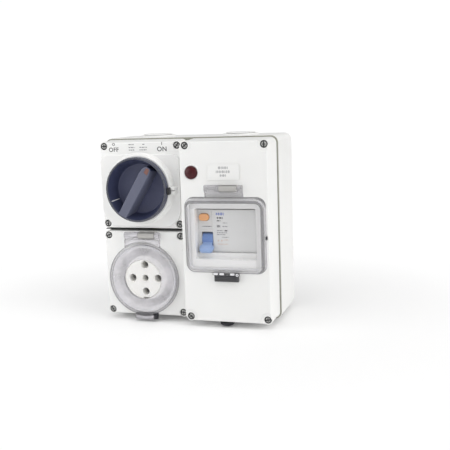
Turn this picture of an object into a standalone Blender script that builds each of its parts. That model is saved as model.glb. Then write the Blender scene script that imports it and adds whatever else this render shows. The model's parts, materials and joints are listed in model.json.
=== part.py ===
"""Weatherproof outlet assembly: a rotary isolator, a five-pin round socket and a residual current
device behind a clear window, on one wall box.

Every piece is modelled in the frame of someone facing the wall: x to the right, y up, z out from
the wall. One empty, wall_frame, stands that frame upright, so in the world the front faces -Y,
+Z is up, and the origin is the centre of the box's back face. All sizes are in metres.
"""

import math

import bmesh
import bpy
from mathutils import Matrix, Vector

# ---- Driving dimensions -------------------------------------------------------------------------
PITCH = 0.097  # spacing of the modules on the box
MODULE = PITCH / 2  # a module's centre, from the centre of the box
SCREW_REACH = 0.042  # a cover screw, from its module's centre
CLEARANCE = 0.0003  # gap left between pieces that touch on the real object

BOX_HALF = 0.0983
BOX_DEPTH = 0.064
BOX_CORNER = 0.008
WALL = 0.003
CONDUIT_OUT = 0.031  # conduit entries, from the wall
CONDUIT_BOSS_RADIUS = 0.0195
CONDUIT_BOSS_HEIGHT = 0.0015
CONDUIT_RADIUS = 0.0125

COVER_HALF = 0.0965  # outer edge of the covers, from the centre of the box
COVER_GAP = 0.0007  # from the centre line to a cover's edge
COVER_BACK = 0.0665
COVER_WALL = 0.0027
LOW_FACE = 0.086  # face of the switch and socket covers
PAD_FACE = 0.088  # raised pad round the dial
RCD_FACE = 0.099
RCD_SCREW_FACE = 0.098

SCREW_HEAD_RADIUS = 0.0034
SCREW_HEAD_HEIGHT = 0.0024
SCREW_SHANK_RADIUS = 0.0016
SCREW_TIP = 0.046
SEAT_BELOW_FACE = 0.0034

DIAL_CENTRE = (-MODULE, 0.0449)
DIAL_RADIUS = 0.03445
DIAL_FRONT = 0.102
DIAL_FLOOR = 0.086
DIAL_ANGLE = math.radians(31.6)  # the handle points this far clockwise of straight up when on
DIAL_TRAVEL = math.radians(64)
LOCK_UP = 0.0433  # height of the lock slide beside the dial
SHAFT_RADIUS = 0.0039
CAM_LIFT = 0.0025

SOCKET_CENTRE = (-MODULE, -0.0532)
SOCKET_FACE_RADIUS = 0.0243
SOCKET_FACE = 0.088
WELL_RADIUS = 0.033
WELL_FLOOR = 0.054
PIN_CIRCLE = 0.0148
OUTER_PIN_HOLE = 0.0039
CENTRE_PIN_HOLE = 0.0034
LID_RADIUS = 0.0401
LID_BACK = 0.089
LID_FRONT = 0.095
LID_AXIS = (-0.0054, 0.091)  # height and distance out of the hinge pin

WINDOW_X = (0.0052, 0.0918)
WINDOW_UP = (-0.0417, 0.0370)
WINDOW_BACK = 0.0993
WINDOW_FRONT = 0.1043
WINDOW_AXIS = (0.0466, 0.1029)
OPENING_X = (0.0156, 0.0810)
OPENING_UP = (-0.0279, 0.0254)

KNUCKLE_RADIUS = 0.0036
PIN_RADIUS = 0.0013
SILL_TOP, SILL_FACE = -0.0226, 0.0918  # the ledge along the opening's lower edge
HINGE_HALF = 0.0201  # half the width over both knuckles
BLOCK = (-0.0038, 0.0144)  # the hinge block that stands on the cover, from the hinge's middle
SPRING_POCKET_RADIUS = 0.00305
SPRING_ROOM = 0.0052  # length of the pocket for the torsion spring beside the block

NOSE_UP = (-0.022, 0.023)
NOSE_FACE = 0.088
CASE_X = (0.0125, 0.0845)
CASE_BACK = 0.0284
TOGGLE_X = 0.0250
TOGGLE_AXIS = (-0.009, 0.0815)
TOGGLE_ANGLE = math.radians(38)  # the lever rests this far below the horizontal
BUTTON_CENTRE = (0.022, 0.015)
RAIL_UP = 0.0005
LAMP_CENTRE = (0.0136, 0.0628)
DRAIN_CENTRE = (0.044, 0.088)  # x and distance out of the drain plug

ROUND = 32  # sides of the large round shapes
SMALL_ROUND = 12


# ---- Scene, materials and objects ---------------------------------------------------------------
def clear_scene():
    for obj in list(bpy.data.objects):
        bpy.data.objects.remove(obj, do_unlink=True)


def collection(name):
    group = bpy.data.collections.new(name)
    bpy.context.scene.collection.children.link(group)
    return group


def material(name, colour, roughness, metallic=0.0, alpha=1.0):
    mat = bpy.data.materials.new(name)
    mat.use_nodes = True
    shader = mat.node_tree.nodes["Principled BSDF"]
    shader.inputs["Base Color"].default_value = (*colour, 1.0)
    shader.inputs["Roughness"].default_value = roughness
    shader.inputs["Metallic"].default_value = metallic
    shader.inputs["Alpha"].default_value = alpha
    return mat


clear_scene()
PARTS = collection("weatherproof_rcd_outlet")
CUTTERS = collection("cutters")

HOUSING = material("housing_plastic", (0.80, 0.80, 0.79), 0.35)
SEAL = material("seal_rubber", (0.25, 0.25, 0.22), 0.8)
SILICONE = material("clear_silicone", (0.70, 0.70, 0.71), 0.6)
STEEL = material("zinc_steel", (0.55, 0.55, 0.53), 0.35, 1.0)
BRASS = material("brass", (0.75, 0.58, 0.27), 0.3, 1.0)
CLEAR = material("clear_polycarbonate", (0.85, 0.85, 0.88), 0.1, 0.0, 0.35)
DIAL_PLASTIC = material("dial_plastic", (0.09, 0.10, 0.16), 0.4)
ORANGE = material("orange_plastic", (0.85, 0.25, 0.05), 0.45)
BLUE = material("blue_plastic", (0.10, 0.22, 0.65), 0.4)
BLACK = material("black_plastic", (0.03, 0.03, 0.035), 0.45)
RED = material("red_lens", (0.25, 0.02, 0.02), 0.15)
DEVICE = material("device_plastic", (0.72, 0.73, 0.72), 0.4)
INSERT = material("insert_plastic", (0.86, 0.86, 0.83), 0.4)
COPPER = material("copper_winding", (0.70, 0.35, 0.20), 0.4, 1.0)
CABLE = material("cable_sheath", (0.45, 0.08, 0.06), 0.5)

wall_frame = bpy.data.objects.new("wall_frame", None)
PARTS.objects.link(wall_frame)
wall_frame.rotation_euler = (math.pi / 2, 0, 0)


def mesh_of(shape, name, origin=(0, 0, 0)):
    """A mesh from a bmesh drawn in the wall frame, moved so that origin is its own zero."""
    bmesh.ops.translate(shape, verts=shape.verts, vec=-Vector(origin))
    mesh = bpy.data.meshes.new(name)
    shape.to_mesh(mesh)
    shape.free()
    mesh.shade_smooth()
    mesh.set_sharp_from_angle(angle=math.radians(35))
    return mesh


def piece(name, shape, mat, origin=(0, 0, 0)):
    """A named part. Its shape is a bmesh or a mesh, and origin is where its joint's axis passes."""
    mesh = mesh_of(shape, name, origin) if isinstance(shape, bmesh.types.BMesh) else shape
    obj = bpy.data.objects.new(name, mesh)
    PARTS.objects.link(obj)
    obj.parent = wall_frame
    obj.location = origin
    if not mesh.materials:
        mesh.materials.append(mat)
    return obj


def boolean(target, shape, operation):
    """Cuts shape from target, or joins it on, with a Boolean modifier and a hidden helper."""
    helper = piece(f"{target.name}_{operation.lower()}_{len(target.modifiers)}", shape, HOUSING)
    PARTS.objects.unlink(helper)
    CUTTERS.objects.link(helper)
    helper.hide_render = True
    helper.display_type = "WIRE"
    modifier = target.modifiers.new(helper.name, "BOOLEAN")
    modifier.operation = operation
    modifier.solver = "EXACT"
    modifier.object = helper
    return target


def cut(target, *shapes):
    return boolean(target, merged(*shapes), "DIFFERENCE")


def join(target, *shapes):
    return boolean(target, merged(*shapes), "UNION")


# ---- Shapes, as bmeshes in the wall frame -------------------------------------------------------
def merged(*shapes):
    """Several separate shapes as one bmesh."""
    whole = bmesh.new()
    for shape in shapes:
        mesh = bpy.data.meshes.new("merge")
        shape.to_mesh(mesh)
        whole.from_mesh(mesh)
        shape.free()
        bpy.data.meshes.remove(mesh)
    return whole


def slab(x, up, out, corner=0.0, taper=0.0, edge=0.0, corner_steps=4, edge_steps=2):
    """A block between three pairs of limits. Its four upright corners are rounded, its front is
    smaller by taper on each side, and its front edge is rounded off by edge."""
    low = Vector((x[0], up[0], out[0]))
    high = Vector((x[1], up[1], out[1]))
    centre = (low + high) / 2
    size = high - low
    shape = bmesh.new()
    place = Matrix.Translation(centre) @ Matrix.Diagonal((*size, 1))
    bmesh.ops.create_cube(shape, size=1.0, matrix=place)
    if corner:
        upright = [e for e in shape.edges if abs(e.verts[0].co.z - e.verts[1].co.z) > size.z / 2]
        bmesh.ops.bevel(
            shape, geom=upright, offset=corner, segments=corner_steps, profile=0.5, affect="EDGES"
        )
    if taper:
        for vert in shape.verts:
            if vert.co.z > centre.z:
                vert.co.x = centre.x + (vert.co.x - centre.x) * (1 - 2 * taper / size.x)
                vert.co.y = centre.y + (vert.co.y - centre.y) * (1 - 2 * taper / size.y)
    if edge:
        shape.normal_update()
        rim = [
            e
            for e in shape.edges
            if min(v.co.z for v in e.verts) > centre.z
            and len({f.normal.z > 0.9 for f in e.link_faces}) == 2
        ]
        bmesh.ops.bevel(
            shape, geom=rim, offset=edge, segments=edge_steps, profile=0.5, affect="EDGES"
        )
    return shape


def rod(centre, out, radius, front_radius=None, sides=SMALL_ROUND):
    """A cylinder, or a cone, that points out from the wall. Centre is x and height."""
    shape = bmesh.new()
    bmesh.ops.create_cone(
        shape,
        cap_ends=True,
        segments=sides,
        radius1=radius,
        radius2=radius if front_radius is None else front_radius,
        depth=out[1] - out[0],
        matrix=Matrix.Translation((*centre, (out[0] + out[1]) / 2)),
    )
    return shape


def cross_rod(x, axis, radius, sides=SMALL_ROUND):
    """A cylinder along x. Axis is its height and distance out."""
    shape = bmesh.new()
    place = Matrix.Translation(((x[0] + x[1]) / 2, *axis)) @ Matrix.Rotation(math.pi / 2, 4, "Y")
    bmesh.ops.create_cone(
        shape,
        cap_ends=True,
        segments=sides,
        radius1=radius,
        radius2=radius,
        depth=x[1] - x[0],
        matrix=place,
    )
    return shape


def upright_rod(up, place, radius, sides=SMALL_ROUND):
    """A vertical cylinder. Place is its x and distance out."""
    shape = rod((0, 0), (-(up[1] - up[0]) / 2, (up[1] - up[0]) / 2), radius, sides=sides)
    turn = Matrix.Translation((place[0], (up[0] + up[1]) / 2, place[1]))
    bmesh.ops.transform(
        shape, matrix=turn @ Matrix.Rotation(math.pi / 2, 4, "X"), verts=shape.verts
    )
    return shape


def turned(name, profile, mat, origin, steps=ROUND, closed=False):
    """A lathe-turned part from (radius, distance) points that run down its outer side."""
    mesh = bpy.data.meshes.new(name)
    points = [(radius, 0, along) for radius, along in profile]
    edges = [(i, i + 1) for i in range(len(points) - 1)]
    if closed:
        edges.append((len(points) - 1, 0))
    mesh.from_pydata(points, edges, [])
    obj = piece(name, mesh, mat, origin)
    screw = obj.modifiers.new("turn", "SCREW")
    screw.axis = "Z"
    screw.steps = steps
    screw.render_steps = steps
    screw.use_smooth_shade = True
    screw.use_merge_vertices = True
    screw.merge_threshold = 0.00001
    return obj


def extruded(outlines, thickness, place):
    """A flat plate from closed outlines, the first its edge and the rest holes in it."""
    curve = bpy.data.curves.new("outline", "CURVE")
    curve.dimensions = "2D"
    curve.fill_mode = "BOTH"
    curve.extrude = thickness / 2
    for outline in outlines:
        spline = curve.splines.new("POLY")
        spline.points.add(len(outline) - 1)
        for point, (across, along) in zip(spline.points, outline):
            point.co = (across, along, 0, 1)
        spline.use_cyclic_u = True
    return shape_of_curve(curve, place)


def cable(points, radius, resolution=2):
    """A round wire through points, with capped ends."""
    curve = bpy.data.curves.new("wire", "CURVE")
    curve.dimensions = "3D"
    curve.bevel_depth = radius
    curve.bevel_resolution = resolution
    curve.use_fill_caps = True
    spline = curve.splines.new("POLY")
    spline.points.add(len(points) - 1)
    for point, place in zip(spline.points, points):
        point.co = (*place, 1)
    return shape_of_curve(curve, Matrix.Identity(4))


def shape_of_curve(curve, place):
    """The curve's surface as a closed bmesh, with the curve itself removed."""
    obj = bpy.data.objects.new("curve", curve)
    CUTTERS.objects.link(obj)
    graph = bpy.context.evaluated_depsgraph_get()
    mesh = bpy.data.meshes.new_from_object(obj.evaluated_get(graph))
    shape = bmesh.new()
    shape.from_mesh(mesh)
    bmesh.ops.remove_doubles(shape, verts=shape.verts, dist=0.00001)
    bmesh.ops.transform(shape, matrix=place, verts=shape.verts)
    bmesh.ops.recalc_face_normals(shape, faces=shape.faces)
    bpy.data.objects.remove(obj)
    bpy.data.meshes.remove(mesh)
    bpy.data.curves.remove(curve)
    return shape


def circle(radius, sides, centre=(0, 0)):
    turns = [2 * math.pi * i / sides for i in range(sides)]
    return [(centre[0] + radius * math.cos(a), centre[1] + radius * math.sin(a)) for a in turns]


def bezier(start, pull, push, end, count=11):
    """Points along a cubic curve, for a wire that leaves one terminal and bends to another."""
    points = []
    for i in range(count):
        t = i / (count - 1)
        weights = ((1 - t) ** 3, 3 * t * (1 - t) ** 2, 3 * t * t * (1 - t), t**3)
        corners = map(Vector, (start, pull, push, end))
        points.append(sum((c * w for c, w in zip(corners, weights)), Vector()))
    return points


# ---- Places of the cover screws -----------------------------------------------------------------
def around(centre, reach_x, reach_up):
    return [
        (centre[0] + side * reach_x, centre[1] + end * reach_up)
        for end in (1, -1)
        for side in (-1, 1)
    ]


SWITCH_SCREWS = around((-MODULE, MODULE), SCREW_REACH, SCREW_REACH)
SOCKET_SCREWS = around((-MODULE, -MODULE), SCREW_REACH, SCREW_REACH)
RCD_SCREWS = around((MODULE, 0), SCREW_REACH, MODULE + SCREW_REACH)
ALL_SCREWS = SWITCH_SCREWS + SOCKET_SCREWS + RCD_SCREWS


# ---- Enclosure ----------------------------------------------------------------------------------
def back_box():
    pillar_radius, pillar_top = 0.0055, BOX_DEPTH - 0.0015
    rib_half, rib_back = 0.0015, 0.051
    pilot_radius, pilot_bottom = 0.002, SCREW_TIP - 0.002
    mount_reach, mount_radius = 0.076, 0.0028
    inside = BOX_HALF - WALL
    half = (-BOX_HALF, BOX_HALF)
    box = piece("back_box", slab(half, half, (0, BOX_DEPTH), corner=BOX_CORNER), HOUSING)
    hollow = (-inside, inside)
    cut(box, slab(hollow, hollow, (WALL, BOX_DEPTH + WALL), corner=BOX_CORNER - WALL))
    pillars = [rod(place, (WALL / 2, pillar_top), pillar_radius, sides=8) for place in ALL_SCREWS]
    rail_posts = [rod((x, RAIL_UP), (WALL / 2, 0.0202), 0.005, sides=8) for x in (0.022, 0.075)]
    middle, reach = (-rib_half, rib_half), (-inside - WALL / 2, inside + WALL / 2)
    join(box, slab(middle, reach, (rib_back, BOX_DEPTH)))
    join(box, slab((reach[0], 0), middle, (rib_back, BOX_DEPTH)))
    join(box, *pillars, *rail_posts)
    boss_up = (BOX_HALF - WALL / 2, BOX_HALF + CONDUIT_BOSS_HEIGHT)
    entries = [(x, CONDUIT_OUT) for x in (-MODULE, MODULE)]
    lower = (-boss_up[1], -boss_up[0])
    join(box, *[upright_rod(up, e, CONDUIT_BOSS_RADIUS, 24) for e in entries for up in (boss_up, lower)])
    hole_up = (BOX_HALF - 2 * WALL, BOX_HALF + 2 * WALL)
    lower = (-hole_up[1], -hole_up[0])
    cut(box, *[upright_rod(up, e, CONDUIT_RADIUS, 16) for e in entries for up in (hole_up, lower)])
    pilots = [rod(place, (pilot_bottom, BOX_DEPTH), pilot_radius, sides=6) for place in ALL_SCREWS]
    mounts = around((0, 0), mount_reach, mount_reach)
    cut(box, *pilots, *[rod(place, (-WALL, 2 * WALL), mount_radius, sides=8) for place in mounts])


def box_gasket():
    """The seal between the box and its covers, with a bar behind each joint between covers."""
    outer, inner, bar = BOX_HALF - 0.0006, BOX_HALF - 0.0036, 0.0022
    out = (BOX_DEPTH + CLEARANCE, COVER_BACK - CLEARANCE)
    ring = piece("box_gasket", slab((-outer, outer), (-outer, outer), out, corner=0.0074), SEAL)
    through = (out[0] - WALL, out[1] + WALL)
    left, right = (-inner, -bar), (bar, inner)
    windows = ((left, right), (left, left), (right, (-inner, inner)))
    cut(ring, *[slab(x, up, through, corner=0.0040, corner_steps=3) for x, up in windows])


def conduit_plugs():
    """Flanged blanking plugs, one in each conduit entry, with a slot for a coin."""
    head = 0.0012
    seat = BOX_HALF + CONDUIT_BOSS_HEIGHT + CLEARANCE
    stem = CONDUIT_RADIUS - CLEARANCE
    profile = [(0, head), (0.0154, head), (0.016, 0.0006), (0.016, 0), (stem, 0), (stem, -0.008), (0, -0.008)]
    for row, sign, mat in (("top", 1, HOUSING), ("bottom", -1, BLACK)):
        for side, x in (("left", -MODULE), ("right", MODULE)):
            place = (x, sign * seat, CONDUIT_OUT)
            plug = turned(f"conduit_plug_{row}_{side}", profile, mat, place, steps=16)
            plug.rotation_euler = (-sign * math.pi / 2, 0, 0)
            slot_up = sorted((sign * (seat + head / 2), sign * (seat + 2 * head)))
            slot_out = (CONDUIT_OUT - 0.001, CONDUIT_OUT + 0.001)
            cut(plug, slab((x - 0.008, x + 0.008), slot_up, slot_out))


def drain_plug():
    """Round-headed plug pressed into the underside of the deep cover."""
    profile = [(0, 0.0045), (0.0055, 0.0038), (0.0074, 0.0018), (0.0076, 0), (0.0038, 0), (0.0038, -0.005), (0, -0.005)]
    place = (DRAIN_CENTRE[0], -COVER_HALF - CLEARANCE, DRAIN_CENTRE[1])
    plug = turned("drain_plug", profile, BLACK, place, steps=16)
    plug.rotation_euler = (math.pi / 2, 0, 0)


def screw_mesh(length):
    """A slotted pan-head screw with its seat at zero."""
    head, point = SCREW_HEAD_HEIGHT, 0.0014
    profile = [
        (0, head),
        (SCREW_HEAD_RADIUS - 0.0007, head),
        (SCREW_HEAD_RADIUS, head - 0.0006),
        (SCREW_HEAD_RADIUS, 0),
        (SCREW_SHANK_RADIUS, 0),
        (SCREW_SHANK_RADIUS, point - length),
        (0, -length),
    ]
    blank = turned("screw_blank", profile, STEEL, (0, 0, 0), steps=8)
    reach = 2 * SCREW_HEAD_RADIUS
    cut(blank, slab((-reach, reach), (-0.0006, 0.0006), (head - 0.001, head + 0.001)))
    graph = bpy.context.evaluated_depsgraph_get()
    mesh = bpy.data.meshes.new_from_object(blank.evaluated_get(graph))
    helper = blank.modifiers[-1].object
    bpy.data.objects.remove(blank)
    bpy.data.objects.remove(helper)
    return mesh


def cover_screws():
    low_seat = LOW_FACE - SEAT_BELOW_FACE + CLEARANCE
    high_seat = RCD_SCREW_FACE - SEAT_BELOW_FACE + CLEARANCE
    short = screw_mesh(low_seat - SCREW_TIP)
    long = screw_mesh(high_seat - SCREW_TIP)
    turn_step = math.radians(50)  # each head stopped at its own angle
    for number, place in enumerate(ALL_SCREWS):
        deep = place in RCD_SCREWS
        seat = high_seat if deep else low_seat
        name = f"cover_screw_{number + 1:02d}"
        screw = piece(name, long if deep else short, STEEL, (*place, seat))
        screw.rotation_euler = (0, 0, number * turn_step)


def cover_shell(name, x, up, face, corner):
    """A moulded cover, open at the back, with a post for each screw still to come."""
    shell = slab(x, up, (COVER_BACK, face), corner=corner, taper=0.0007, edge=0.0011)
    cover = piece(name, shell, HOUSING)
    inner_x = (x[0] + COVER_WALL, x[1] - COVER_WALL)
    inner_up = (up[0] + COVER_WALL, up[1] - COVER_WALL)
    cut(cover, slab(inner_x, inner_up, (COVER_BACK - WALL, face - WALL), corner=corner / 2))
    return cover


def screw_posts(cover, places, face):
    post_radius, shank_hole, head_hole = 0.005, 0.0022, 0.0039
    posts = (COVER_BACK + CLEARANCE, face - WALL / 2)
    join(cover, *[rod(p, posts, post_radius, sides=8) for p in places])
    cut(cover, *[rod(p, (face - SEAT_BELOW_FACE, face + WALL), head_hole) for p in places])
    cut(cover, *[rod(p, (COVER_BACK - WALL, face), shank_hole, sides=6) for p in places])


def hinge_block(cover, centre_x, axis, face):
    """The fixed middle knuckle of a lid hinge, moulded on the cover and bored for the pin."""
    x = (centre_x + BLOCK[0], centre_x + BLOCK[1])
    foot = slab(x, (axis[0] - KNUCKLE_RADIUS, axis[0] + KNUCKLE_RADIUS), (face - WALL / 2, axis[1]))
    join(cover, foot)
    join(cover, cross_rod(x, axis, KNUCKLE_RADIUS + 0.00005))
    reach = (centre_x - 2 * HINGE_HALF, centre_x + 2 * HINGE_HALF)
    cut(cover, cross_rod(reach, axis, PIN_RADIUS + CLEARANCE, sides=12))


# ---- Rotary isolator ----------------------------------------------------------------------------
def switch_cover():
    x, up = (-COVER_HALF, -COVER_GAP), (COVER_GAP, COVER_HALF)
    cover = cover_shell("switch_cover", x, up, LOW_FACE, 0.006)
    cup_floor = 0.0815
    join(cover, rod(DIAL_CENTRE, (cup_floor - 0.0025, LOW_FACE - WALL / 2), 0.0364, sides=ROUND))
    pad_x, pad_up = (-0.0946, -0.0028), (0.0034, 0.0818)
    join(cover, slab(pad_x, pad_up, (LOW_FACE - WALL / 2, PAD_FACE), corner=0.015, edge=0.0008))
    join(cover, rod(DIAL_CENTRE, (PAD_FACE - 0.001, 0.0946), 0.0378, 0.0362, sides=ROUND))
    guide_up = (LOCK_UP - 0.005, LOCK_UP + 0.005)
    join(cover, slab((-0.0150, -0.0062), guide_up, (PAD_FACE - 0.001, 0.0945), taper=0.0006))
    cut(cover, rod(DIAL_CENTRE, (cup_floor, DIAL_FRONT), 0.0336, sides=ROUND))
    slot_up = (LOCK_UP - 0.0016, LOCK_UP + 0.0016)
    cut(cover, slab((-0.0140, -0.0076), slot_up, (0.0885, 0.096)))
    cut(cover, rod(DIAL_CENTRE, (0.07, 0.09), SHAFT_RADIUS + 0.0004))
    screw_posts(cover, SWITCH_SCREWS, LOW_FACE)


def dial_handle():
    """The bar across the dial: wider at its foot, and both ends lean in towards the floor."""
    half_width, draft = 0.0056, 0.0011
    tail, tip = (-0.0326, -0.0272), (0.0284, 0.0250)
    shape = bmesh.new()
    bmesh.ops.create_cube(shape, size=1.0)
    for vert in shape.verts:
        front = vert.co.z > 0
        end = tip if vert.co.y > 0 else tail
        vert.co.x = math.copysign(half_width if front else half_width + draft, vert.co.x)
        vert.co.y = end[0] if front else end[1]
        vert.co.z = DIAL_FRONT if front else DIAL_FLOOR - 0.0005
    bmesh.ops.rotate(shape, verts=shape.verts, matrix=Matrix.Rotation(-DIAL_ANGLE, 3, "Z"))
    bmesh.ops.translate(shape, verts=shape.verts, vec=(*DIAL_CENTRE, 0))
    return shape


def pointer_slab(grow):
    """The pointer inlay, or its pocket when it is grown by a clearance."""
    half, tip = 0.0032 + grow, (0.0192 - grow, 0.0272 + grow)
    shape = slab((-half, half), tip, (0.1003 - grow, DIAL_FRONT + 0.0002 + 3 * grow), corner=0.0012)
    bmesh.ops.rotate(shape, verts=shape.verts, matrix=Matrix.Rotation(-DIAL_ANGLE, 3, "Z"))
    bmesh.ops.translate(shape, verts=shape.verts, vec=(*DIAL_CENTRE, 0))
    return shape


def switch_dial():
    rim_back, back = 0.095, 0.0834
    origin = (*DIAL_CENTRE, rim_back)
    profile = [
        (0, DIAL_FLOOR),
        (0.0264, DIAL_FLOOR),
        (0.0320, DIAL_FRONT - 0.001),
        (0.0327, DIAL_FRONT),
        (DIAL_RADIUS - 0.0005, DIAL_FRONT),
        (DIAL_RADIUS, DIAL_FRONT - 0.0006),
        (DIAL_RADIUS, rim_back + 0.0002),
        (0.0329, rim_back),
        (0.0275, back),
        (0, back),
    ]
    local = [(radius, along - rim_back) for radius, along in profile]
    dial = turned("switch_dial", local, DIAL_PLASTIC, origin)
    join(dial, dial_handle())
    cut(dial, pointer_slab(CLEARANCE))
    cut(dial, rod(DIAL_CENTRE, (0.08, 0.092), SHAFT_RADIUS + CLEARANCE))
    piece("dial_pointer", pointer_slab(0), ORANGE, origin)
    piece("switch_shaft", rod(DIAL_CENTRE, (0.034, 0.0917), SHAFT_RADIUS), STEEL, origin)
    ring = [(0.0085, 0.0013), (0.0085, 0), (0.0043, 0), (0.0043, 0.0013)]
    turned("shaft_seal", ring, SEAL, (*DIAL_CENTRE, 0.0818), steps=16, closed=True)


def cam_radius(angle):
    """The cam rises evenly through the dial's travel, so its follower moves in proportion."""
    base, past = 0.007, math.radians(8)
    rise = min(max(-angle, 0), DIAL_TRAVEL + past)
    return base + CAM_LIFT * rise / DIAL_TRAVEL


def switch_mechanism():
    body = piece("switch_body", slab((-0.070, -0.027), (0.0234, 0.0664), (0.036, 0.0786), corner=0.003), DEVICE)
    cut(body, slab((-0.0675, -0.0295), (0.0259, 0.0639), (0.033, 0.075), corner=0.002))
    cut(body, rod(DIAL_CENTRE, (0.07, 0.085), SHAFT_RADIUS + 0.0004))

    sides = 36
    angles = [-math.pi / 2 - math.radians(10) + 2 * math.pi * i / sides for i in range(sides)]
    edge = [(cam_radius(a) * math.cos(a), cam_radius(a) * math.sin(a)) for a in angles]
    bore = circle(SHAFT_RADIUS + CLEARANCE, SMALL_ROUND)
    cam_place = Matrix.Translation((*DIAL_CENTRE, 0.055))
    cam = extruded([edge, bore], 0.006, cam_place)
    piece("switch_cam", cam, BLACK, (*DIAL_CENTRE, 0.095))

    tip_x = DIAL_CENTRE[0] + cam_radius(0) + 0.0004
    height = DIAL_CENTRE[1]
    carriage = slab((-0.0385, -0.0325), (height - 0.006, height + 0.006), (0.050, 0.060))
    origin = (tip_x, height, 0.055)
    slider = piece("contact_carriage", carriage, BLACK)
    join(slider, slab((tip_x, -0.038), (height - 0.0009, height + 0.0009), (0.0525, 0.0575)))
    cut(slider, slab((-0.0363, -0.0345), (height - 0.02, height + 0.02), (0.0527, 0.0573)))
    bar = slab((-0.0360, -0.0348), (height - 0.013, height + 0.013), (0.053, 0.057))
    piece("moving_contact", bar, BRASS, origin)
    contact_x, contact_out = (-0.0377, -0.0363), (0.040, 0.060)
    piece("line_contact", slab(contact_x, (height + 0.0085, height + 0.0145), contact_out), BRASS)
    piece("load_contact", slab(contact_x, (height - 0.0145, height - 0.0085), contact_out), BRASS)


def lock_slide():
    """The tab beside the dial that pulls out to take a padlock."""
    tab = slab((-0.0136, -0.0114), (LOCK_UP - 0.0037, LOCK_UP + 0.0037), (0.0949, 0.1010), edge=0.0004)
    slide = piece("lock_slide", tab, BLACK)
    join(slide, slab((-0.0132, -0.0118), (LOCK_UP - 0.0012, LOCK_UP + 0.0012), (0.0892, 0.0955)))


# ---- Socket -------------------------------------------------------------------------------------
def socket_cover():
    x, up = (-COVER_HALF, -COVER_GAP), (-COVER_HALF, -COVER_GAP)
    cover = cover_shell("socket_cover", x, up, LOW_FACE, 0.006)
    well_wall = 0.0355
    join(cover, rod(SOCKET_CENTRE, (WELL_FLOOR - 0.0025, LOW_FACE - WALL / 2), well_wall, sides=ROUND))
    join(cover, rod(SOCKET_CENTRE, (LOW_FACE - WALL / 2, LID_BACK - 0.0004), 0.0386, 0.0380, sides=ROUND))
    cut(cover, rod(SOCKET_CENTRE, (WELL_FLOOR, LID_FRONT), WELL_RADIUS, sides=ROUND))
    insert_hole = SOCKET_FACE_RADIUS + CLEARANCE
    cut(cover, rod(SOCKET_CENTRE, (0.045, WELL_FLOOR + WALL), insert_hole, sides=ROUND))
    hinge_block(cover, SOCKET_CENTRE[0], LID_AXIS, LOW_FACE)
    screw_posts(cover, SOCKET_SCREWS, LOW_FACE)


def pin_places():
    """The centre pin and the four on the circle round it."""
    cx, cy = SOCKET_CENTRE
    reach = PIN_CIRCLE
    return {
        "top": (cx, cy + reach),
        "left": (cx - reach, cy),
        "centre": (cx, cy),
        "right": (cx + reach, cy),
        "bottom": (cx, cy - reach),
    }


def socket_insert():
    back, sleeve_back = 0.048, 0.0557
    body = rod(SOCKET_CENTRE, (back, SOCKET_FACE), SOCKET_FACE_RADIUS, sides=ROUND)
    insert = piece("socket_insert", body, INSERT)
    places = pin_places()
    holes = []
    for name, place in places.items():
        radius = CENTRE_PIN_HOLE if name == "centre" else OUTER_PIN_HOLE
        holes.append(rod(place, (sleeve_back, SOCKET_FACE + WALL), radius, sides=8))
    cut(insert, *holes)
    cut(insert, *[rod(p, (back - WALL, sleeve_back + WALL), 0.0023, sides=8) for p in places.values()])
    key_up = (SOCKET_CENTRE[1] - 0.0242, SOCKET_CENTRE[1] - 0.0214)
    key_x = (SOCKET_CENTRE[0] - 0.0035, SOCKET_CENTRE[0] + 0.0035)
    cut(insert, slab(key_x, key_up, (0.080, SOCKET_FACE + WALL)))
    for name, place in places.items():
        outer = (CENTRE_PIN_HOLE if name == "centre" else OUTER_PIN_HOLE) - 0.0004
        contact_sleeve(f"contact_sleeve_{name}", place, outer, sleeve_back + CLEARANCE)


def contact_sleeve(name, place, outer, seat):
    """A brass tube that grips a plug pin, closed at the back by its terminal stud."""
    bore, stud = outer - 0.0007, 0.002
    length, stud_length = 0.024, 0.0145
    profile = [
        (0, 0.002),
        (bore, 0.002),
        (bore, length),
        (outer, length),
        (outer, 0),
        (stud, 0),
        (stud, -stud_length),
        (0, -stud_length),
    ]
    turned(name, profile, BRASS, (*place, seat), steps=10)


def hinged_lid(name, body, hollow, centre_x, axis, neck, plate_out):
    """A clear lid: a hollowed body, the neck up to its hinge and two knuckles round the pin."""
    origin = (centre_x, *axis)
    lid = piece(name, body, CLEAR, origin)
    x = (centre_x - HINGE_HALF, centre_x + HINGE_HALF)
    join(lid, slab(x, neck, plate_out))
    block_end = centre_x + BLOCK[0]
    left = (x[0], block_end - CLEARANCE)
    right = (centre_x + BLOCK[1] + 3 * CLEARANCE, x[1])
    for side in (left, right):
        arm = slab(side, (neck[1] - 0.001, axis[0]), (axis[1] - 0.0018, plate_out[1]))
        join(lid, arm)
        join(lid, cross_rod(side, axis, KNUCKLE_RADIUS))
    cut(lid, hollow)
    cut(lid, cross_rod((x[0] - WALL, x[1] + WALL), axis, PIN_RADIUS + CLEARANCE, sides=12))
    cut(lid, cross_rod((block_end - SPRING_ROOM, block_end), axis, SPRING_POCKET_RADIUS, sides=12))
    return lid


def hinge_pin(name, centre_x, axis):
    x = (centre_x - HINGE_HALF + 0.0005, centre_x + HINGE_HALF - 0.0005)
    piece(name, cross_rod(x, axis, PIN_RADIUS, sides=12), STEEL)


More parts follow.
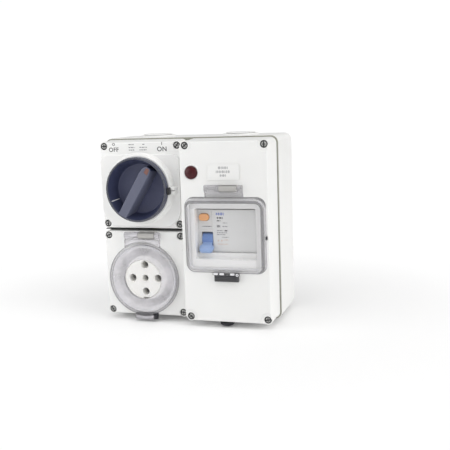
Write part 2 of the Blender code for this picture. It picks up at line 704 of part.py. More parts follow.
def hinge_spring(name, centre_x, axis):
    """The torsion spring wound round the pin, in the lid's pocket beside the hinge block."""
    turns, per_turn, wire, coil = 3.5, 8, 0.00035, 0.0023
    room = SPRING_ROOM - 2 * CLEARANCE - 2 * wire
    start = centre_x + BLOCK[0] - CLEARANCE - wire
    points = []
    for i in range(round(turns * per_turn) + 1):
        angle = 2 * math.pi * i / per_turn
        along = start - room * i / (turns * per_turn)
        points.append((along, axis[0] + coil * math.cos(angle), axis[1] + coil * math.sin(angle)))
    piece(name, cable(points, wire, resolution=0), STEEL)


def socket_lid():
    cx, cy = SOCKET_CENTRE
    skin, rim = 0.0026, 0.0025
    disc = rod(SOCKET_CENTRE, (LID_BACK, LID_FRONT), LID_RADIUS, LID_RADIUS - 0.0004, sides=ROUND)
    hollow = rod(SOCKET_CENTRE, (LID_BACK - WALL, LID_FRONT - skin), LID_RADIUS - rim, sides=ROUND)
    neck = (cy + LID_RADIUS - 0.008, LID_AXIS[0] - KNUCKLE_RADIUS - 0.0006)
    plate = (LID_BACK, LID_FRONT - 0.0008)
    lid = hinged_lid("socket_lid", disc, hollow, cx, LID_AXIS, neck, plate)
    tab_up = (cy - LID_RADIUS - 0.0048, cy - LID_RADIUS + 0.003)
    tab = slab((cx - 0.0105, cx + 0.0100), tab_up, (LID_FRONT - skin, LID_FRONT - 0.0002))
    join(lid, tab)
    hinge_pin("socket_lid_pin", cx, LID_AXIS)
    hinge_spring("socket_lid_spring", cx, LID_AXIS)
    ring = [(0.0371, 0.0026), (0.0371, 0), (0.0349, 0), (0.0349, 0.0026)]
    seat = LID_BACK - 0.0004 + CLEARANCE
    turned("socket_lid_seal", ring, SILICONE, (*SOCKET_CENTRE, seat), closed=True)


def sliding_latch(name, x, up, lip_up, face, lip_front):
    """A catch that slides down to free the lid: a thin plate with a thick lower lip."""
    back = face + CLEARANCE
    latch = piece(name, slab(x, up, (back, back + 0.0022)), BLACK)
    join(latch, slab(x, (up[0], lip_up), (back, lip_front), edge=0.0005))


def socket_latch():
    cx = SOCKET_CENTRE[0]
    up = (-0.0988, -0.0921)
    sliding_latch("socket_latch", (cx - 0.0130, cx + 0.0130), up, -0.0942, LOW_FACE, 0.0919)


# ---- Residual current device and its cover ------------------------------------------------------
def rcd_cover():
    x, up = (COVER_GAP, COVER_HALF), (-COVER_HALF, COVER_HALF)
    cover = cover_shell("rcd_cover", x, up, RCD_FACE, 0.006)
    screw_posts(cover, RCD_SCREWS, RCD_SCREW_FACE)
    relief = 0.0072
    cut(cover, *[rod(p, (RCD_SCREW_FACE, RCD_FACE + WALL), relief, sides=16) for p in RCD_SCREWS])
    skirt, skirt_back = 0.0016, NOSE_FACE + 0.0005
    skirt_x = (OPENING_X[0] - skirt, OPENING_X[1] + skirt)
    skirt_up = (OPENING_UP[0] - skirt, OPENING_UP[1] + skirt)
    join(cover, slab(skirt_x, skirt_up, (skirt_back, RCD_FACE - WALL / 2), corner=0.003))
    cut(cover, slab(OPENING_X, OPENING_UP, (skirt_back - WALL, RCD_FACE + WALL), corner=0.0015))
    sill_x = (OPENING_X[0] - skirt / 2, OPENING_X[1] + skirt / 2)
    join(cover, slab(sill_x, (OPENING_UP[0] - skirt / 2, SILL_TOP), (skirt_back + CLEARANCE, SILL_FACE)))
    hinge_block(cover, MODULE, WINDOW_AXIS, RCD_FACE)
    cut(cover, rod(LAMP_CENTRE, (0.09, RCD_FACE + WALL), 0.0052))
    cut(cover, upright_rod((-0.11, -0.09), DRAIN_CENTRE, 0.0041))


def rcd_window():
    skin, side = 0.0022, 0.0024
    body = slab(WINDOW_X, WINDOW_UP, (WINDOW_BACK, WINDOW_FRONT), corner=0.009, edge=0.0012)
    inner_x = (WINDOW_X[0] + side, WINDOW_X[1] - side)
    inner_up = (WINDOW_UP[0] + side, WINDOW_UP[1] - side)
    hollow = slab(inner_x, inner_up, (WINDOW_BACK - WALL, WINDOW_FRONT - skin), corner=0.0066)
    neck = (WINDOW_UP[1] - 0.002, WINDOW_AXIS[0] - KNUCKLE_RADIUS - 0.0006)
    plate = (WINDOW_BACK, WINDOW_FRONT - 0.0008)
    lid = hinged_lid("rcd_window", body, hollow, MODULE, WINDOW_AXIS, neck, plate)
    tab_up = (WINDOW_UP[0] - 0.0020, WINDOW_UP[0] + 0.0015)
    join(lid, slab((MODULE - 0.0145, MODULE + 0.0145), tab_up, (0.1020, WINDOW_FRONT - 0.0002)))
    hinge_pin("rcd_window_pin", MODULE, WINDOW_AXIS)
    hinge_spring("rcd_window_spring", MODULE, WINDOW_AXIS)

    gap, width = side + 0.0008, 0.0022
    seal_x = (WINDOW_X[0] + gap, WINDOW_X[1] - gap)
    seal_up = (WINDOW_UP[0] + gap, WINDOW_UP[1] - gap)
    seal_out = (RCD_FACE + CLEARANCE, 0.1017)
    seal = piece("rcd_window_seal", slab(seal_x, seal_up, seal_out, corner=0.0058), SILICONE)
    hole_x = (seal_x[0] + width, seal_x[1] - width)
    hole_up = (seal_up[0] + width, seal_up[1] - width)
    cut(seal, slab(hole_x, hole_up, (RCD_FACE - WALL, WINDOW_FRONT), corner=0.0036))


def rcd_latch():
    up = (-0.0507, -0.0424)
    sliding_latch("rcd_latch", (MODULE - 0.0131, MODULE + 0.0131), up, -0.0441, RCD_FACE, 0.1034)


def rcd_case():
    skin = 0.0018
    shoulder_up, shoulder_out = (-0.042, 0.043), (CASE_BACK, 0.066)
    case = piece("rcd_case", slab(CASE_X, shoulder_up, shoulder_out), DEVICE)
    join(case, slab(CASE_X, NOSE_UP, (shoulder_out[1] - 0.004, NOSE_FACE), edge=0.0006))
    inner_x = (CASE_X[0] + skin, CASE_X[1] - skin)
    inner_up = (shoulder_up[0] + skin, shoulder_up[1] - skin)
    nose_up = (NOSE_UP[0] + skin, NOSE_UP[1] - skin)
    cut(case, slab(inner_x, inner_up, (CASE_BACK - WALL, shoulder_out[1] - skin)))
    cut(case, slab(inner_x, nose_up, (CASE_BACK + WALL, NOSE_FACE - skin)))
    slot_up = (TOGGLE_AXIS[0] - 0.0084, TOGGLE_AXIS[0] + 0.0084)
    slot_x = (TOGGLE_X - 0.0062, TOGGLE_X + 0.0062)
    cut(case, slab(slot_x, slot_up, (0.080, 0.092)))
    cut(case, test_button_shape(0.0004, (0.080, 0.092)))


def test_button_shape(grow, out):
    half_x, half_up = 0.0054 + grow, 0.0037 + grow
    x, up = BUTTON_CENTRE
    return slab((x - half_x, x + half_x), (up - half_up, up + half_up), out, corner=0.0034, corner_steps=5)


def rcd_controls():
    piece("rcd_test_button", test_button_shape(0, (0.0815, 0.0902)), ORANGE, (*BUTTON_CENTRE, 0.0815))

    origin = (TOGGLE_X, *TOGGLE_AXIS)
    drum_half, paddle_half = 0.0058, 0.0086
    drum = cross_rod((TOGGLE_X - drum_half, TOGGLE_X + drum_half), TOGGLE_AXIS, 0.0074, sides=20)
    toggle = piece("rcd_toggle", drum, BLUE, origin)
    lean = Matrix.Rotation(TOGGLE_ANGLE, 3, "X")
    arms = (
        slab((-0.0054, 0.0054), (-0.0022, 0.0022), (0.003, 0.0135)),
        slab((-paddle_half, paddle_half), (-0.0034, 0.0034), (0.0120, 0.0192), corner=0.0012, edge=0.0009),
    )
    for arm in arms:
        bmesh.ops.rotate(arm, verts=arm.verts, matrix=lean)
        bmesh.ops.translate(arm, verts=arm.verts, vec=origin)
        join(toggle, arm)

    ring = circle(0.004, 8, centre=(0.011, 0))
    turned("rcd_toroid", list(reversed(ring)), COPPER, (0.060, RAIL_UP, 0.052), steps=16, closed=True)


def din_mounting():
    half, flange, depth, sheet = 0.0175, 0.0125, 0.0075, 0.001
    back = CASE_BACK - 2 * CLEARANCE - depth + CLEARANCE
    hat = [
        (-half, depth),
        (-half, depth - sheet),
        (-flange - sheet, depth - sheet),
        (-flange - sheet, 0),
        (flange + sheet, 0),
        (flange + sheet, depth - sheet),
        (half, depth - sheet),
        (half, depth),
        (flange, depth),
        (flange, sheet),
        (-flange, sheet),
        (-flange, depth),
    ]
    stand = Matrix(((0, 0, 1, MODULE), (1, 0, 0, RAIL_UP), (0, 1, 0, back), (0, 0, 0, 1)))
    piece("din_rail", extruded([hat], 0.081, stand), STEEL)

    lip = RAIL_UP - half
    x = (MODULE - 0.0065, MODULE + 0.0065)
    clip = piece("din_clip", slab(x, (lip - 0.013, lip - 0.0008), (0.0246, CASE_BACK - CLEARANCE)), BLACK)
    join(clip, slab(x, (lip - 0.002, lip + 0.0028), (0.0246, 0.0264)))


def indicator_lamp():
    stem_back, radius = 0.092, 0.00685
    base = RCD_FACE + CLEARANCE
    profile = [
        (0, 0.1022),
        (0.0030, 0.1019),
        (0.0055, 0.1009),
        (radius, base + 0.0004),
        (radius, base),
        (0.0049, base),
        (0.0049, stem_back),
        (0, stem_back),
    ]
    turned("lamp_lens", profile, RED, (*LAMP_CENTRE, 0), steps=20)
    piece("lamp_body", rod(LAMP_CENTRE, (0.072, stem_back - CLEARANCE), 0.0064), INSERT)


def small_fittings():
    label_out = (RCD_FACE + CLEARANCE, RCD_FACE + CLEARANCE + 0.0006)
    piece("label_plate", slab((0.031, 0.065), (0.055, 0.0712), label_out, corner=0.0008), DEVICE)

    wire = 0.0016
    supply = bezier((-0.0252, 0.034, 0.045), (-0.006, 0.050, 0.042), (0.024, 0.070, 0.046), (0.024, 0.0455, 0.048))
    load = bezier((0.024, -0.0445, 0.048), (0.024, -0.066, 0.044), (-0.004, -0.064, 0.036), (-0.0296, -0.054, 0.038))
    piece("supply_wire", cable(supply, wire), CABLE)
    piece("load_wire", cable(load, wire), CABLE)


def weld_cut_edges():
    """Closes the hair-thin slivers that a Boolean leaves where two faces share a plane."""
    for obj in PARTS.objects:
        if any(modifier.type == "BOOLEAN" for modifier in obj.modifiers):
            weld = obj.modifiers.new("weld", "WELD")
            weld.merge_threshold = 0.000003


back_box()
box_gasket()
conduit_plugs()
drain_plug()
cover_screws()
switch_cover()
switch_dial()
switch_mechanism()
lock_slide()
socket_cover()
socket_insert()
socket_lid()
socket_latch()
rcd_cover()
rcd_window()
rcd_latch()
rcd_case()
rcd_controls()
din_mounting()
indicator_lamp()
small_fittings()
weld_cut_edges()
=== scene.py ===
"""Looks for the weatherproof outlet with a residual current device.

Finely modelled pieces stand for the visible CAD solids, and every solid that stays gets a material
of its own. Shapes are drawn in the frame of someone facing the wall, as x to the right, y up and
z out from the wall, and turned upright once they are finished. All sizes are in metres.
"""

import json
import math

import bmesh
import bpy
from mathutils import Matrix, Vector
from mathutils.bvhtree import BVHTree


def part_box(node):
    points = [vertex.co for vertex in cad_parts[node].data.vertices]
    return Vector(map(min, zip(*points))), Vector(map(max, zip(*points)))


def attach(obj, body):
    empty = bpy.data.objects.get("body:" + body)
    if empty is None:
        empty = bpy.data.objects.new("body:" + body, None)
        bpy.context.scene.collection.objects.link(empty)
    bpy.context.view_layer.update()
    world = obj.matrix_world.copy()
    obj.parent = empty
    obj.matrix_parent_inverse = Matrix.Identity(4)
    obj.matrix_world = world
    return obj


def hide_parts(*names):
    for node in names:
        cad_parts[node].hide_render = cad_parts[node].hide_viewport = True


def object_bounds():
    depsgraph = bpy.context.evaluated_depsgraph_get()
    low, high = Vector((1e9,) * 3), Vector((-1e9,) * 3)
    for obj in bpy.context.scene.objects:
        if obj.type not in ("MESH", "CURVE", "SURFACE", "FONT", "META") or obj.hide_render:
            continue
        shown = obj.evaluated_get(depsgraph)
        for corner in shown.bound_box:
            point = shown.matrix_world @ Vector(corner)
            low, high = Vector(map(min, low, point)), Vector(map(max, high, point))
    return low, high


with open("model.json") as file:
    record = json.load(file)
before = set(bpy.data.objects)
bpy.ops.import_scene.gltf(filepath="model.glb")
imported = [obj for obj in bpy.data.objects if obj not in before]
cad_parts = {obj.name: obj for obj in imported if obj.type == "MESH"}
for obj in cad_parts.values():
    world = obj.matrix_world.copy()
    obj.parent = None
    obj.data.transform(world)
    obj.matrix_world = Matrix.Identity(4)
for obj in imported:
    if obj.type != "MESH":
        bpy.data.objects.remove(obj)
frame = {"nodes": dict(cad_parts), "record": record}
CAD_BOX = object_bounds()

BEHAVIOUR = frame["record"]["behaviour"]
BODY_OF = {node: body for body, nodes in BEHAVIOUR["bodies"].items() for node in nodes}
SLOT_OF = {row["node"]: row["material_slot"] for row in frame["record"]["subparts"]}
JOINTS = {joint["name"]: joint for joint in BEHAVIOUR["joints"]}
UPRIGHT = Matrix.Rotation(math.pi / 2, 4, "X")  # wall frame to world


# ---- Places taken from the CAD ------------------------------------------------------------------
def span(node):
    """The x, height and distance-out limits of a CAD node."""
    low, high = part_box(node)
    return (low.x, high.x), (low.z, high.z), (-high.y, -low.y)


def middle(node):
    """The x, height and distance out of a CAD node's centre."""
    return tuple((low + high) / 2 for low, high in span(node))


def axis_of(joint):
    """The x, height and distance out of the point that a hinge turns about."""
    x, y, z = JOINTS[joint]["pos_m"]
    return x, z, -y


def grown(limits, by):
    return limits[0] - by, limits[1] + by


def about(value, reach):
    return value - reach, value + reach


LOW_FACE = 0.086  # how far out the face of the switch and socket covers is
PAD_FACE = 0.088  # the raised pad round the dial
RCD_FACE = 0.099  # the right cover
COVER_BACK = span("switch_cover")[2][0]
SCREWS = [f"cover_screw_{number:02d}" for number in range(1, 13)]
SCREW_PLACES = [middle(node)[:2] for node in SCREWS]
DIAL = axis_of("dial_turn")[:2]
DIAL_ANGLE = math.radians(31.6)  # the handle's, clockwise from upright
DIAL_FLOOR = 0.0862
DIAL_FRONT = span("switch_dial")[2][1]
SOCKET = middle("socket_insert")[:2]
LID_AXIS = axis_of("socket_lid_hinge")
WINDOW_AXIS = axis_of("window_hinge")
MODULE_X = WINDOW_AXIS[0]
LAMP = middle("lamp_lens")[:2]
KNUCKLE_RADIUS = 0.0036
PIN_BORE = 0.0016  # radius of the holes for the hinge pins
GAP = 0.0003  # between pieces that touch on the real object
THROUGH = 0.004  # how far a cutter runs past the wall it cuts


# ---- Materials ----------------------------------------------------------------------------------
def new_material(name):
    mat = bpy.data.materials.new(name)
    mat.use_nodes = True
    return mat, mat.node_tree


def add(tree, kind, inputs=None, **settings):
    """A new node. Each input gets a value, or a link from the socket given for it."""
    node = tree.nodes.new(f"ShaderNode{kind}")
    for setting, value in settings.items():
        setattr(node, setting, value)
    fill(tree, node, inputs or {})
    return node


def fill(tree, node, inputs):
    """Gives a node's inputs their values and links."""
    for name, value in inputs.items():
        if isinstance(value, bpy.types.NodeSocket):
            tree.links.new(value, node.inputs[name])
        else:
            node.inputs[name].default_value = value


def noise(tree, scale, detail=3.0, stretch=None):
    """Noise in the object's own space, in cells per metre."""
    place = add(tree, "TexCoord").outputs["Object"]
    if stretch:
        place = add(tree, "Mapping", {"Vector": place, "Scale": stretch}).outputs["Vector"]
    return add(tree, "TexNoise", {"Vector": place, "Scale": scale, "Detail": detail}).outputs["Fac"]


def spread(tree, source, low, high):
    """The source's middle values spread between low and high."""
    limits = {"Value": source, "From Min": 0.3, "From Max": 0.7, "To Min": low, "To Max": high}
    return add(tree, "MapRange", limits).outputs["Result"]


def shade(colour, factor):
    """The colour made lighter or darker, with an alpha of one."""
    return (*(min(channel * factor, 1.0) for channel in colour), 1.0)


def blended(tree, share, first, second):
    inputs = {"Factor": share, "A": first, "B": second}
    return add(tree, "Mix", inputs, data_type="RGBA").outputs["Result"]


def mottled(tree, source, colour, amount):
    """The colour, a little lighter and darker where the source says."""
    share = spread(tree, source, 0.0, 1.0)
    return blended(tree, share, shade(colour, 1 - amount), shade(colour, 1 + amount))


def bumped(tree, source, strength, depth):
    inputs = {"Strength": strength, "Distance": depth, "Height": source}
    return add(tree, "Bump", inputs).outputs["Normal"]


def plastic(name, colour, roughness, mottle=0.02, grain=0.25, glow=0.0):
    """Moulded plastic: a spark-eroded grain, a slow drift in colour and uneven gloss."""
    mat, tree = new_material(name)
    inputs = {
        "Base Color": mottled(tree, noise(tree, 28.0), colour, mottle),
        "Roughness": spread(tree, noise(tree, 240.0), roughness - 0.05, roughness + 0.07),
        "Normal": bumped(tree, noise(tree, 2200.0, 2.0), grain, 0.00006),
        "Subsurface Weight": glow,
        "Subsurface Radius": (0.0012, 0.0011, 0.0009),
    }
    fill(tree, tree.nodes["Principled BSDF"], inputs)
    return mat


def metal(name, colour, roughness):
    """Plated or bare metal, with fine drawn lines and clouded plating."""
    mat, tree = new_material(name)
    cloud = noise(tree, 420.0)
    lines = noise(tree, 900.0, 4.0, stretch=(1.0, 1.0, 14.0))
    inputs = {
        "Metallic": 1.0,
        "Base Color": mottled(tree, cloud, colour, 0.14),
        "Roughness": spread(tree, cloud, roughness - 0.08, roughness + 0.16),
        "Normal": bumped(tree, lines, 0.3, 0.00004),
    }
    fill(tree, tree.nodes["Principled BSDF"], inputs)
    return mat


def rubber(name, colour):
    mat, tree = new_material(name)
    dust = noise(tree, 160.0, 5.0)
    inputs = {
        "Base Color": mottled(tree, dust, colour, 0.12),
        "Roughness": spread(tree, dust, 0.62, 0.85),
        "Normal": bumped(tree, noise(tree, 1500.0), 0.5, 0.00008),
    }
    fill(tree, tree.nodes["Principled BSDF"], inputs)
    return mat


def vector_step(tree, operation, source, value=(0, 0, 0)):
    """One step of vector arithmetic."""
    step = add(tree, "VectorMath", {0: source, 1: value}, operation=operation)
    return step.outputs["Value" if operation == "LENGTH" else "Vector"]


def number_step(tree, operation, first, second, **settings):
    """One step of arithmetic."""
    return add(tree, "Math", {0: first, 1: second}, operation=operation, **settings).outputs["Value"]


def colour_ramp(tree, share, stops):
    """A colour picked by share from stops, which are positions and colours."""
    ramp = add(tree, "ValToRGB", {"Fac": share})
    elements = ramp.color_ramp.elements
    while len(elements) < len(stops):
        elements.new(0.5)
    for element, (position, colour) in zip(elements, stops):
        element.position = position
        element.color = (*colour, 1.0)
    return ramp.outputs["Color"]


def zone_values(tree, centre, half, stops):
    """Two values that depend on how far a point lies outside a rectangle on the wall. Each stop is
    a distance and the two values there. Without a size, the rectangle is a point."""
    place = add(tree, "TexCoord").outputs["Object"]
    offset = vector_step(tree, "SUBTRACT", place, (centre[0], 0, centre[1]))
    size = vector_step(tree, "ABSOLUTE", offset)
    beyond = vector_step(tree, "SUBTRACT", size, (half[0], 1.0, half[1]))
    beyond = vector_step(tree, "MAXIMUM", beyond)
    last = stops[-1][0]
    share = number_step(tree, "DIVIDE", vector_step(tree, "LENGTH", beyond), last)
    colours = [(distance / last, (first, second, 0.0)) for distance, first, second in stops]
    parts = add(tree, "SeparateColor", {"Color": colour_ramp(tree, share, colours)})
    return parts.outputs["Red"], parts.outputs["Green"]


def either(tree, share, first, second):
    """A mix of two shaders."""
    return add(tree, "MixShader", {"Fac": share, 1: first, 2: second}).outputs["Shader"]


def clear(name, cloud=(0.80, 0.79, 0.81), zones=None):
    """Clear polycarbonate. A ray that crosses it slantwise passes more of it and comes out darker,
    and a little light scatters in the surface, in the cloud's colour. Zones gives the share that
    one face passes and the share that it scatters, by place, and so paints rings of light and shade
    into it. Light that falls on what is behind passes freely."""
    mat, tree = new_material(name)
    tree.nodes.remove(tree.nodes["Principled BSDF"])
    slant = add(tree, "LayerWeight", {"Blend": 0.5}).outputs["Facing"]
    tint = colour_ramp(tree, slant, CLEAR_TINTS)
    clouded = noise(tree, 60.0)
    passed, scattered = zone_values(tree, *zones) if zones else (1.0, 0.03)
    dimmed = add(tree, "VectorMath", {0: tint, "Scale": passed}, operation="SCALE").outputs["Vector"]
    through = add(tree, "BsdfTransparent", {"Color": dimmed}).outputs["BSDF"]
    scatter = add(tree, "BsdfDiffuse", {"Color": mottled(tree, clouded, cloud, 0.05)}).outputs["BSDF"]
    amount = number_step(tree, "MULTIPLY", spread(tree, clouded, 0.75, 1.25), scattered)
    hazed = either(tree, amount, through, scatter)

    ripple = bumped(tree, noise(tree, 90.0, 1.0), 0.12, 0.0004)
    mirror = add(tree, "BsdfGlossy", {"Roughness": 0.05, "Normal": ripple}).outputs["BSDF"]
    fresnel = add(tree, "Fresnel", {"IOR": 1.49}).outputs["Fac"]
    inner = add(tree, "NewGeometry").outputs["Backfacing"]
    outer = number_step(tree, "SUBTRACT", fresnel, inner, use_clamp=True)
    surface = either(tree, outer, hazed, mirror)

    free = add(tree, "BsdfTransparent", {"Color": (0.985, 0.984, 0.988, 1.0)}).outputs["BSDF"]
    seen = add(tree, "LightPath").outputs["Is Camera Ray"]
    fill(tree, tree.nodes["Material Output"], {"Surface": either(tree, seen, free, surface)})
    return mat


def lens(name, colour, facet_scale):
    """A coloured lamp lens: glossy outside, with a pattern of small prisms under the surface."""
    mat, tree = new_material(name)
    place = add(tree, "TexCoord").outputs["Object"]
    cells = {"Vector": place, "Scale": facet_scale, "Randomness": 0.15}
    prisms = add(tree, "TexVoronoi", cells, distance="CHEBYCHEV").outputs["Distance"]
    share = spread(tree, prisms, 0.0, 1.0)
    inputs = {
        "Base Color": blended(tree, share, shade(colour, 1.5), shade(colour, 0.3)),
        "Roughness": 0.28,
        "Specular IOR Level": 0.22,
        "Coat Weight": 0.12,
        "Coat Roughness": 0.08,
        "Normal": bumped(tree, prisms, 0.6, 0.0004),
    }
    fill(tree, tree.nodes["Principled BSDF"], inputs)
    return mat


# What gets through one face, from a ray straight through to one along the face.
CLEAR_TINTS = (
    (0.12, (0.985, 0.983, 0.988)),
    (0.45, (0.88, 0.875, 0.89)),
    (0.72, (0.58, 0.57, 0.60)),
    (0.95, (0.26, 0.25, 0.28)),
)
# Distance from the zone, share passed and share scattered by one face. The stops paint light and
# shade into the clear plastic: pale rings and bands as painted highlights, dark rings as painted
# shade along edges, and on the socket lid a haze that covers the shade in the well with painted light.
LID_PAINTED_ZONES = (
    SOCKET,
    (0, 0),
    (
        (0.0206, 1.0, 0.02),
        (0.0212, 0.62, 0.06),
        (0.0218, 0.95, 0.30),
        (0.0226, 0.92, 0.42),
        (0.0352, 0.91, 0.36),
        (0.0364, 0.84, 0.14),
        (0.0400, 0.76, 0.08),
        (0.0408, 0.62, 0.05),
        (0.0416, 0.98, 0.46),
        (0.0430, 0.95, 0.40),
        (0.0442, 0.85, 0.25),
        (0.0462, 0.82, 0.20),
        (0.0470, 0.76, 0.16),
        (0.0480, 0.92, 0.44),
        (0.0500, 0.92, 0.46),
    ),
)
WINDOW_PAINTED_ZONES = (
    (MODULE_X - 0.0015, -0.0047),
    (0.0333, 0.0294),
    (
        (0.0006, 0.985, 0.025),
        (0.0014, 0.925, 0.03),
        (0.0052, 0.92, 0.03),
        (0.0057, 1.0, 0.07),
        (0.0062, 0.97, 0.06),
        (0.0067, 0.64, 0.07),
        (0.0088, 0.58, 0.06),
        (0.0096, 0.76, 0.16),
        (0.0102, 0.96, 0.28),
        (0.0114, 0.96, 0.26),
        (0.0119, 0.46, 0.02),
        (0.0130, 0.52, 0.06),
        (0.0136, 0.78, 0.22),
        (0.0144, 0.62, 0.12),
        (0.0152, 0.82, 0.26),
        (0.0160, 0.68, 0.16),
        (0.0172, 0.86, 0.34),
    ),
)
MATERIALS = {
    "housing": plastic("housing", (0.82, 0.82, 0.81), 0.36, mottle=0.012, glow=0.05),
    "seal_rubber": rubber("seal_rubber", (0.30, 0.30, 0.255)),
    "clear_silicone": plastic("clear_silicone", (0.70, 0.70, 0.71), 0.4, mottle=0.03, glow=0.25),
    "zinc_steel": metal("zinc_steel", (0.44, 0.44, 0.43), 0.36),
    "brass": metal("brass", (0.72, 0.53, 0.22), 0.28),
    "clear_plastic": clear("clear_plastic"),
    "dial_plastic": plastic("dial_plastic", (0.036, 0.042, 0.086), 0.36, grain=0.35),
    "orange_plastic": plastic("orange_plastic", (0.19, 0.085, 0.070), 0.42, mottle=0.12),
    "blue_plastic": plastic("blue_plastic", (0.125, 0.245, 0.56), 0.36, mottle=0.04),
    "black_plastic": plastic("black_plastic", (0.022, 0.022, 0.028), 0.42, mottle=0.1),
    "red_lens": lens("red_lens", (0.046, 0.006, 0.008), 620.0),
    "device_plastic": plastic("device_plastic", (0.70, 0.705, 0.695), 0.42, mottle=0.015),
    "insert_plastic": plastic("insert_plastic", (0.86, 0.855, 0.82), 0.34, mottle=0.012, glow=0.08),
    "copper_winding": metal("copper_winding", (0.72, 0.34, 0.18), 0.3),
    "cable_sheath": rubber("cable_sheath", (0.40, 0.05, 0.04)),
}
HINGE_CREAM = plastic("hinge_cream", (0.42, 0.41, 0.395), 0.4, glow=0.05)
# Dark grey painted into the hinge blocks' grooves as painted shade.
GROOVE_PAINTED_SHADE = plastic("groove_grey", (0.10, 0.10, 0.10), 0.5, mottle=0.1)
# The next three are lighter copies of the dial plastic: painted light on the dial's handle, floor and
# rim.
HANDLE_LIT_PLASTIC = plastic("handle_plastic", (0.110, 0.118, 0.172), 0.34, grain=0.6)
FLOOR_LIT_BLUE = plastic("floor_blue", (0.058, 0.066, 0.134), 0.42, mottle=0.06, grain=0.4)
RIM_LIT_GREY = plastic("rim_grey", (0.066, 0.070, 0.090), 0.26, mottle=0.05, grain=0.2)
LOCK_BLACK = plastic("lock_black", (0.008, 0.008, 0.010), 0.5, mottle=0.1)
PLATED_BRASS = metal("plated_brass", (0.40, 0.37, 0.31), 0.4)
# Pale plastic for painted highlights: the window's lugs and the bush of its eye.
GLINT_WHITE = plastic("frosted", (0.74, 0.74, 0.76), 0.25, mottle=0.02)
BUTTON_ORANGE = plastic("button_orange", (0.88, 0.42, 0.16), 0.4, mottle=0.05)
# A lighter copy of the toggle's blue: painted light on the paddle's front.
TIP_LIT_BLUE = plastic("tip_blue", (0.26, 0.39, 0.66), 0.32, mottle=0.04)
# Dark grey of the latch catch, also used as painted shade in the screw slots and on the window's eye.
CATCH_GREY_AND_SHADE = plastic("catch_grey", (0.055, 0.055, 0.06), 0.38, mottle=0.1)
LID_POLYCARBONATE = clear("lid_polycarbonate", (0.69, 0.675, 0.71), LID_PAINTED_ZONES)
WINDOW_POLYCARBONATE = clear("window_polycarbonate", (0.52, 0.515, 0.53), WINDOW_PAINTED_ZONES)
# Black for painted shade: the gasket bar in the gap between the left covers and the rings in the screw
# pockets.
SHADE_BLACK = rubber("seal_black", (0.022, 0.022, 0.024))
INK = plastic("ink", (0.105, 0.105, 0.11), 0.6, mottle=0.2, grain=0.1)
FAINT_INK = plastic("faint_ink", (0.27, 0.27, 0.28), 0.6, mottle=0.15, grain=0.1)
BLUE_INK = plastic("blue_ink", (0.23, 0.27, 0.52), 0.6, mottle=0.15, grain=0.1)
LABEL_INK = plastic("label_ink", (0.46, 0.46, 0.47), 0.6, mottle=0.15, grain=0.1)
# Pale colour for a painted highlight on the dial's wall.
PAINTED_STREAK = plastic("pale_line", (0.72, 0.72, 0.73), 0.4, mottle=0.1, grain=0.1)
WARM_INK = plastic("warm_ink", (0.60, 0.47, 0.40), 0.6, mottle=0.15, grain=0.1)


# ---- Shapes, as bmeshes in the wall frame -------------------------------------------------------
ALONG_X = Matrix(((0, 0, 1), (1, 0, 0), (0, 1, 0)))  # turns a shape drawn outwards
UP = Matrix(((1, 0, 0), (0, 0, 1), (0, -1, 0)))
DOWN = Matrix(((1, 0, 0), (0, 0, -1), (0, 1, 0)))


def arc(centre, radius, start, sweep, steps):
    """Points along part of a circle, by angles in degrees."""
    turns = [math.radians(start + sweep * i / steps) for i in range(steps + 1)]
    return [(centre[0] + radius * math.cos(a), centre[1] + radius * math.sin(a)) for a in turns]


def outline(x, up, radii, steps):
    """Points round a rectangle with rounded corners, from the lower right, anticlockwise."""
    corners = ((x[1], up[0], -90), (x[1], up[1], 0), (x[0], up[1], 90), (x[0], up[0], 180))
    largest = 0.48 * min(x[1] - x[0], up[1] - up[0])
    points = []
    for (edge_x, edge_up, start), radius in zip(corners, radii):
        radius = min(max(radius, 0.00005), largest)
        centre_x = edge_x - math.copysign(radius, edge_x - (x[0] + x[1]) / 2)
        centre_up = edge_up - math.copysign(radius, edge_up - (up[0] + up[1]) / 2)
        points += arc((centre_x, centre_up), radius, start, 90, steps)
    return points


def circle(centre, radius, sides):
    turns = [2 * math.pi * i / sides for i in range(sides)]
    return [(centre[0] + radius * math.cos(a), centre[1] + radius * math.sin(a)) for a in turns]


def stack(sections, closed=False):
    """A surface through outlines of equal length, each at its own distance out. It is capped at
    both ends, unless it closes on itself as a ring does."""
    shape = bmesh.new()
    rings = [[shape.verts.new((*point, out)) for point in points] for points, out in sections]
    pairs = list(zip(rings, rings[1:]))
    if closed:
        pairs.append((rings[-1], rings[0]))
    return skinned(shape, rings, pairs, not closed)


def skinned(shape, rings, pairs, capped=True):
    """Faces between the pairs of rings, and caps over the first and the last ring."""
    for low, high in pairs:
        for i, vert in enumerate(low):
            after = (i + 1) % len(low)
            shape.faces.new((vert, low[after], high[after], high[i]))
    if capped:
        shape.faces.new(tuple(reversed(rings[0])))
        shape.faces.new(rings[-1])
    bmesh.ops.recalc_face_normals(shape, faces=shape.faces)
    return shape


def rounding(out, front, back):
    """Insets and distances out along a side whose two ends are rounded off."""
    profile, steps = [], 4
    for radius, centre, start in ((back, out[0] + back, -90), (front, out[1] - front, 0)):
        if not radius:
            profile.append((0.0, centre))
            continue
        for i in range(steps + 1):
            angle = math.radians(start + 90 * i / steps)
            profile.append((radius - radius * math.cos(angle), centre + radius * math.sin(angle)))
    return profile


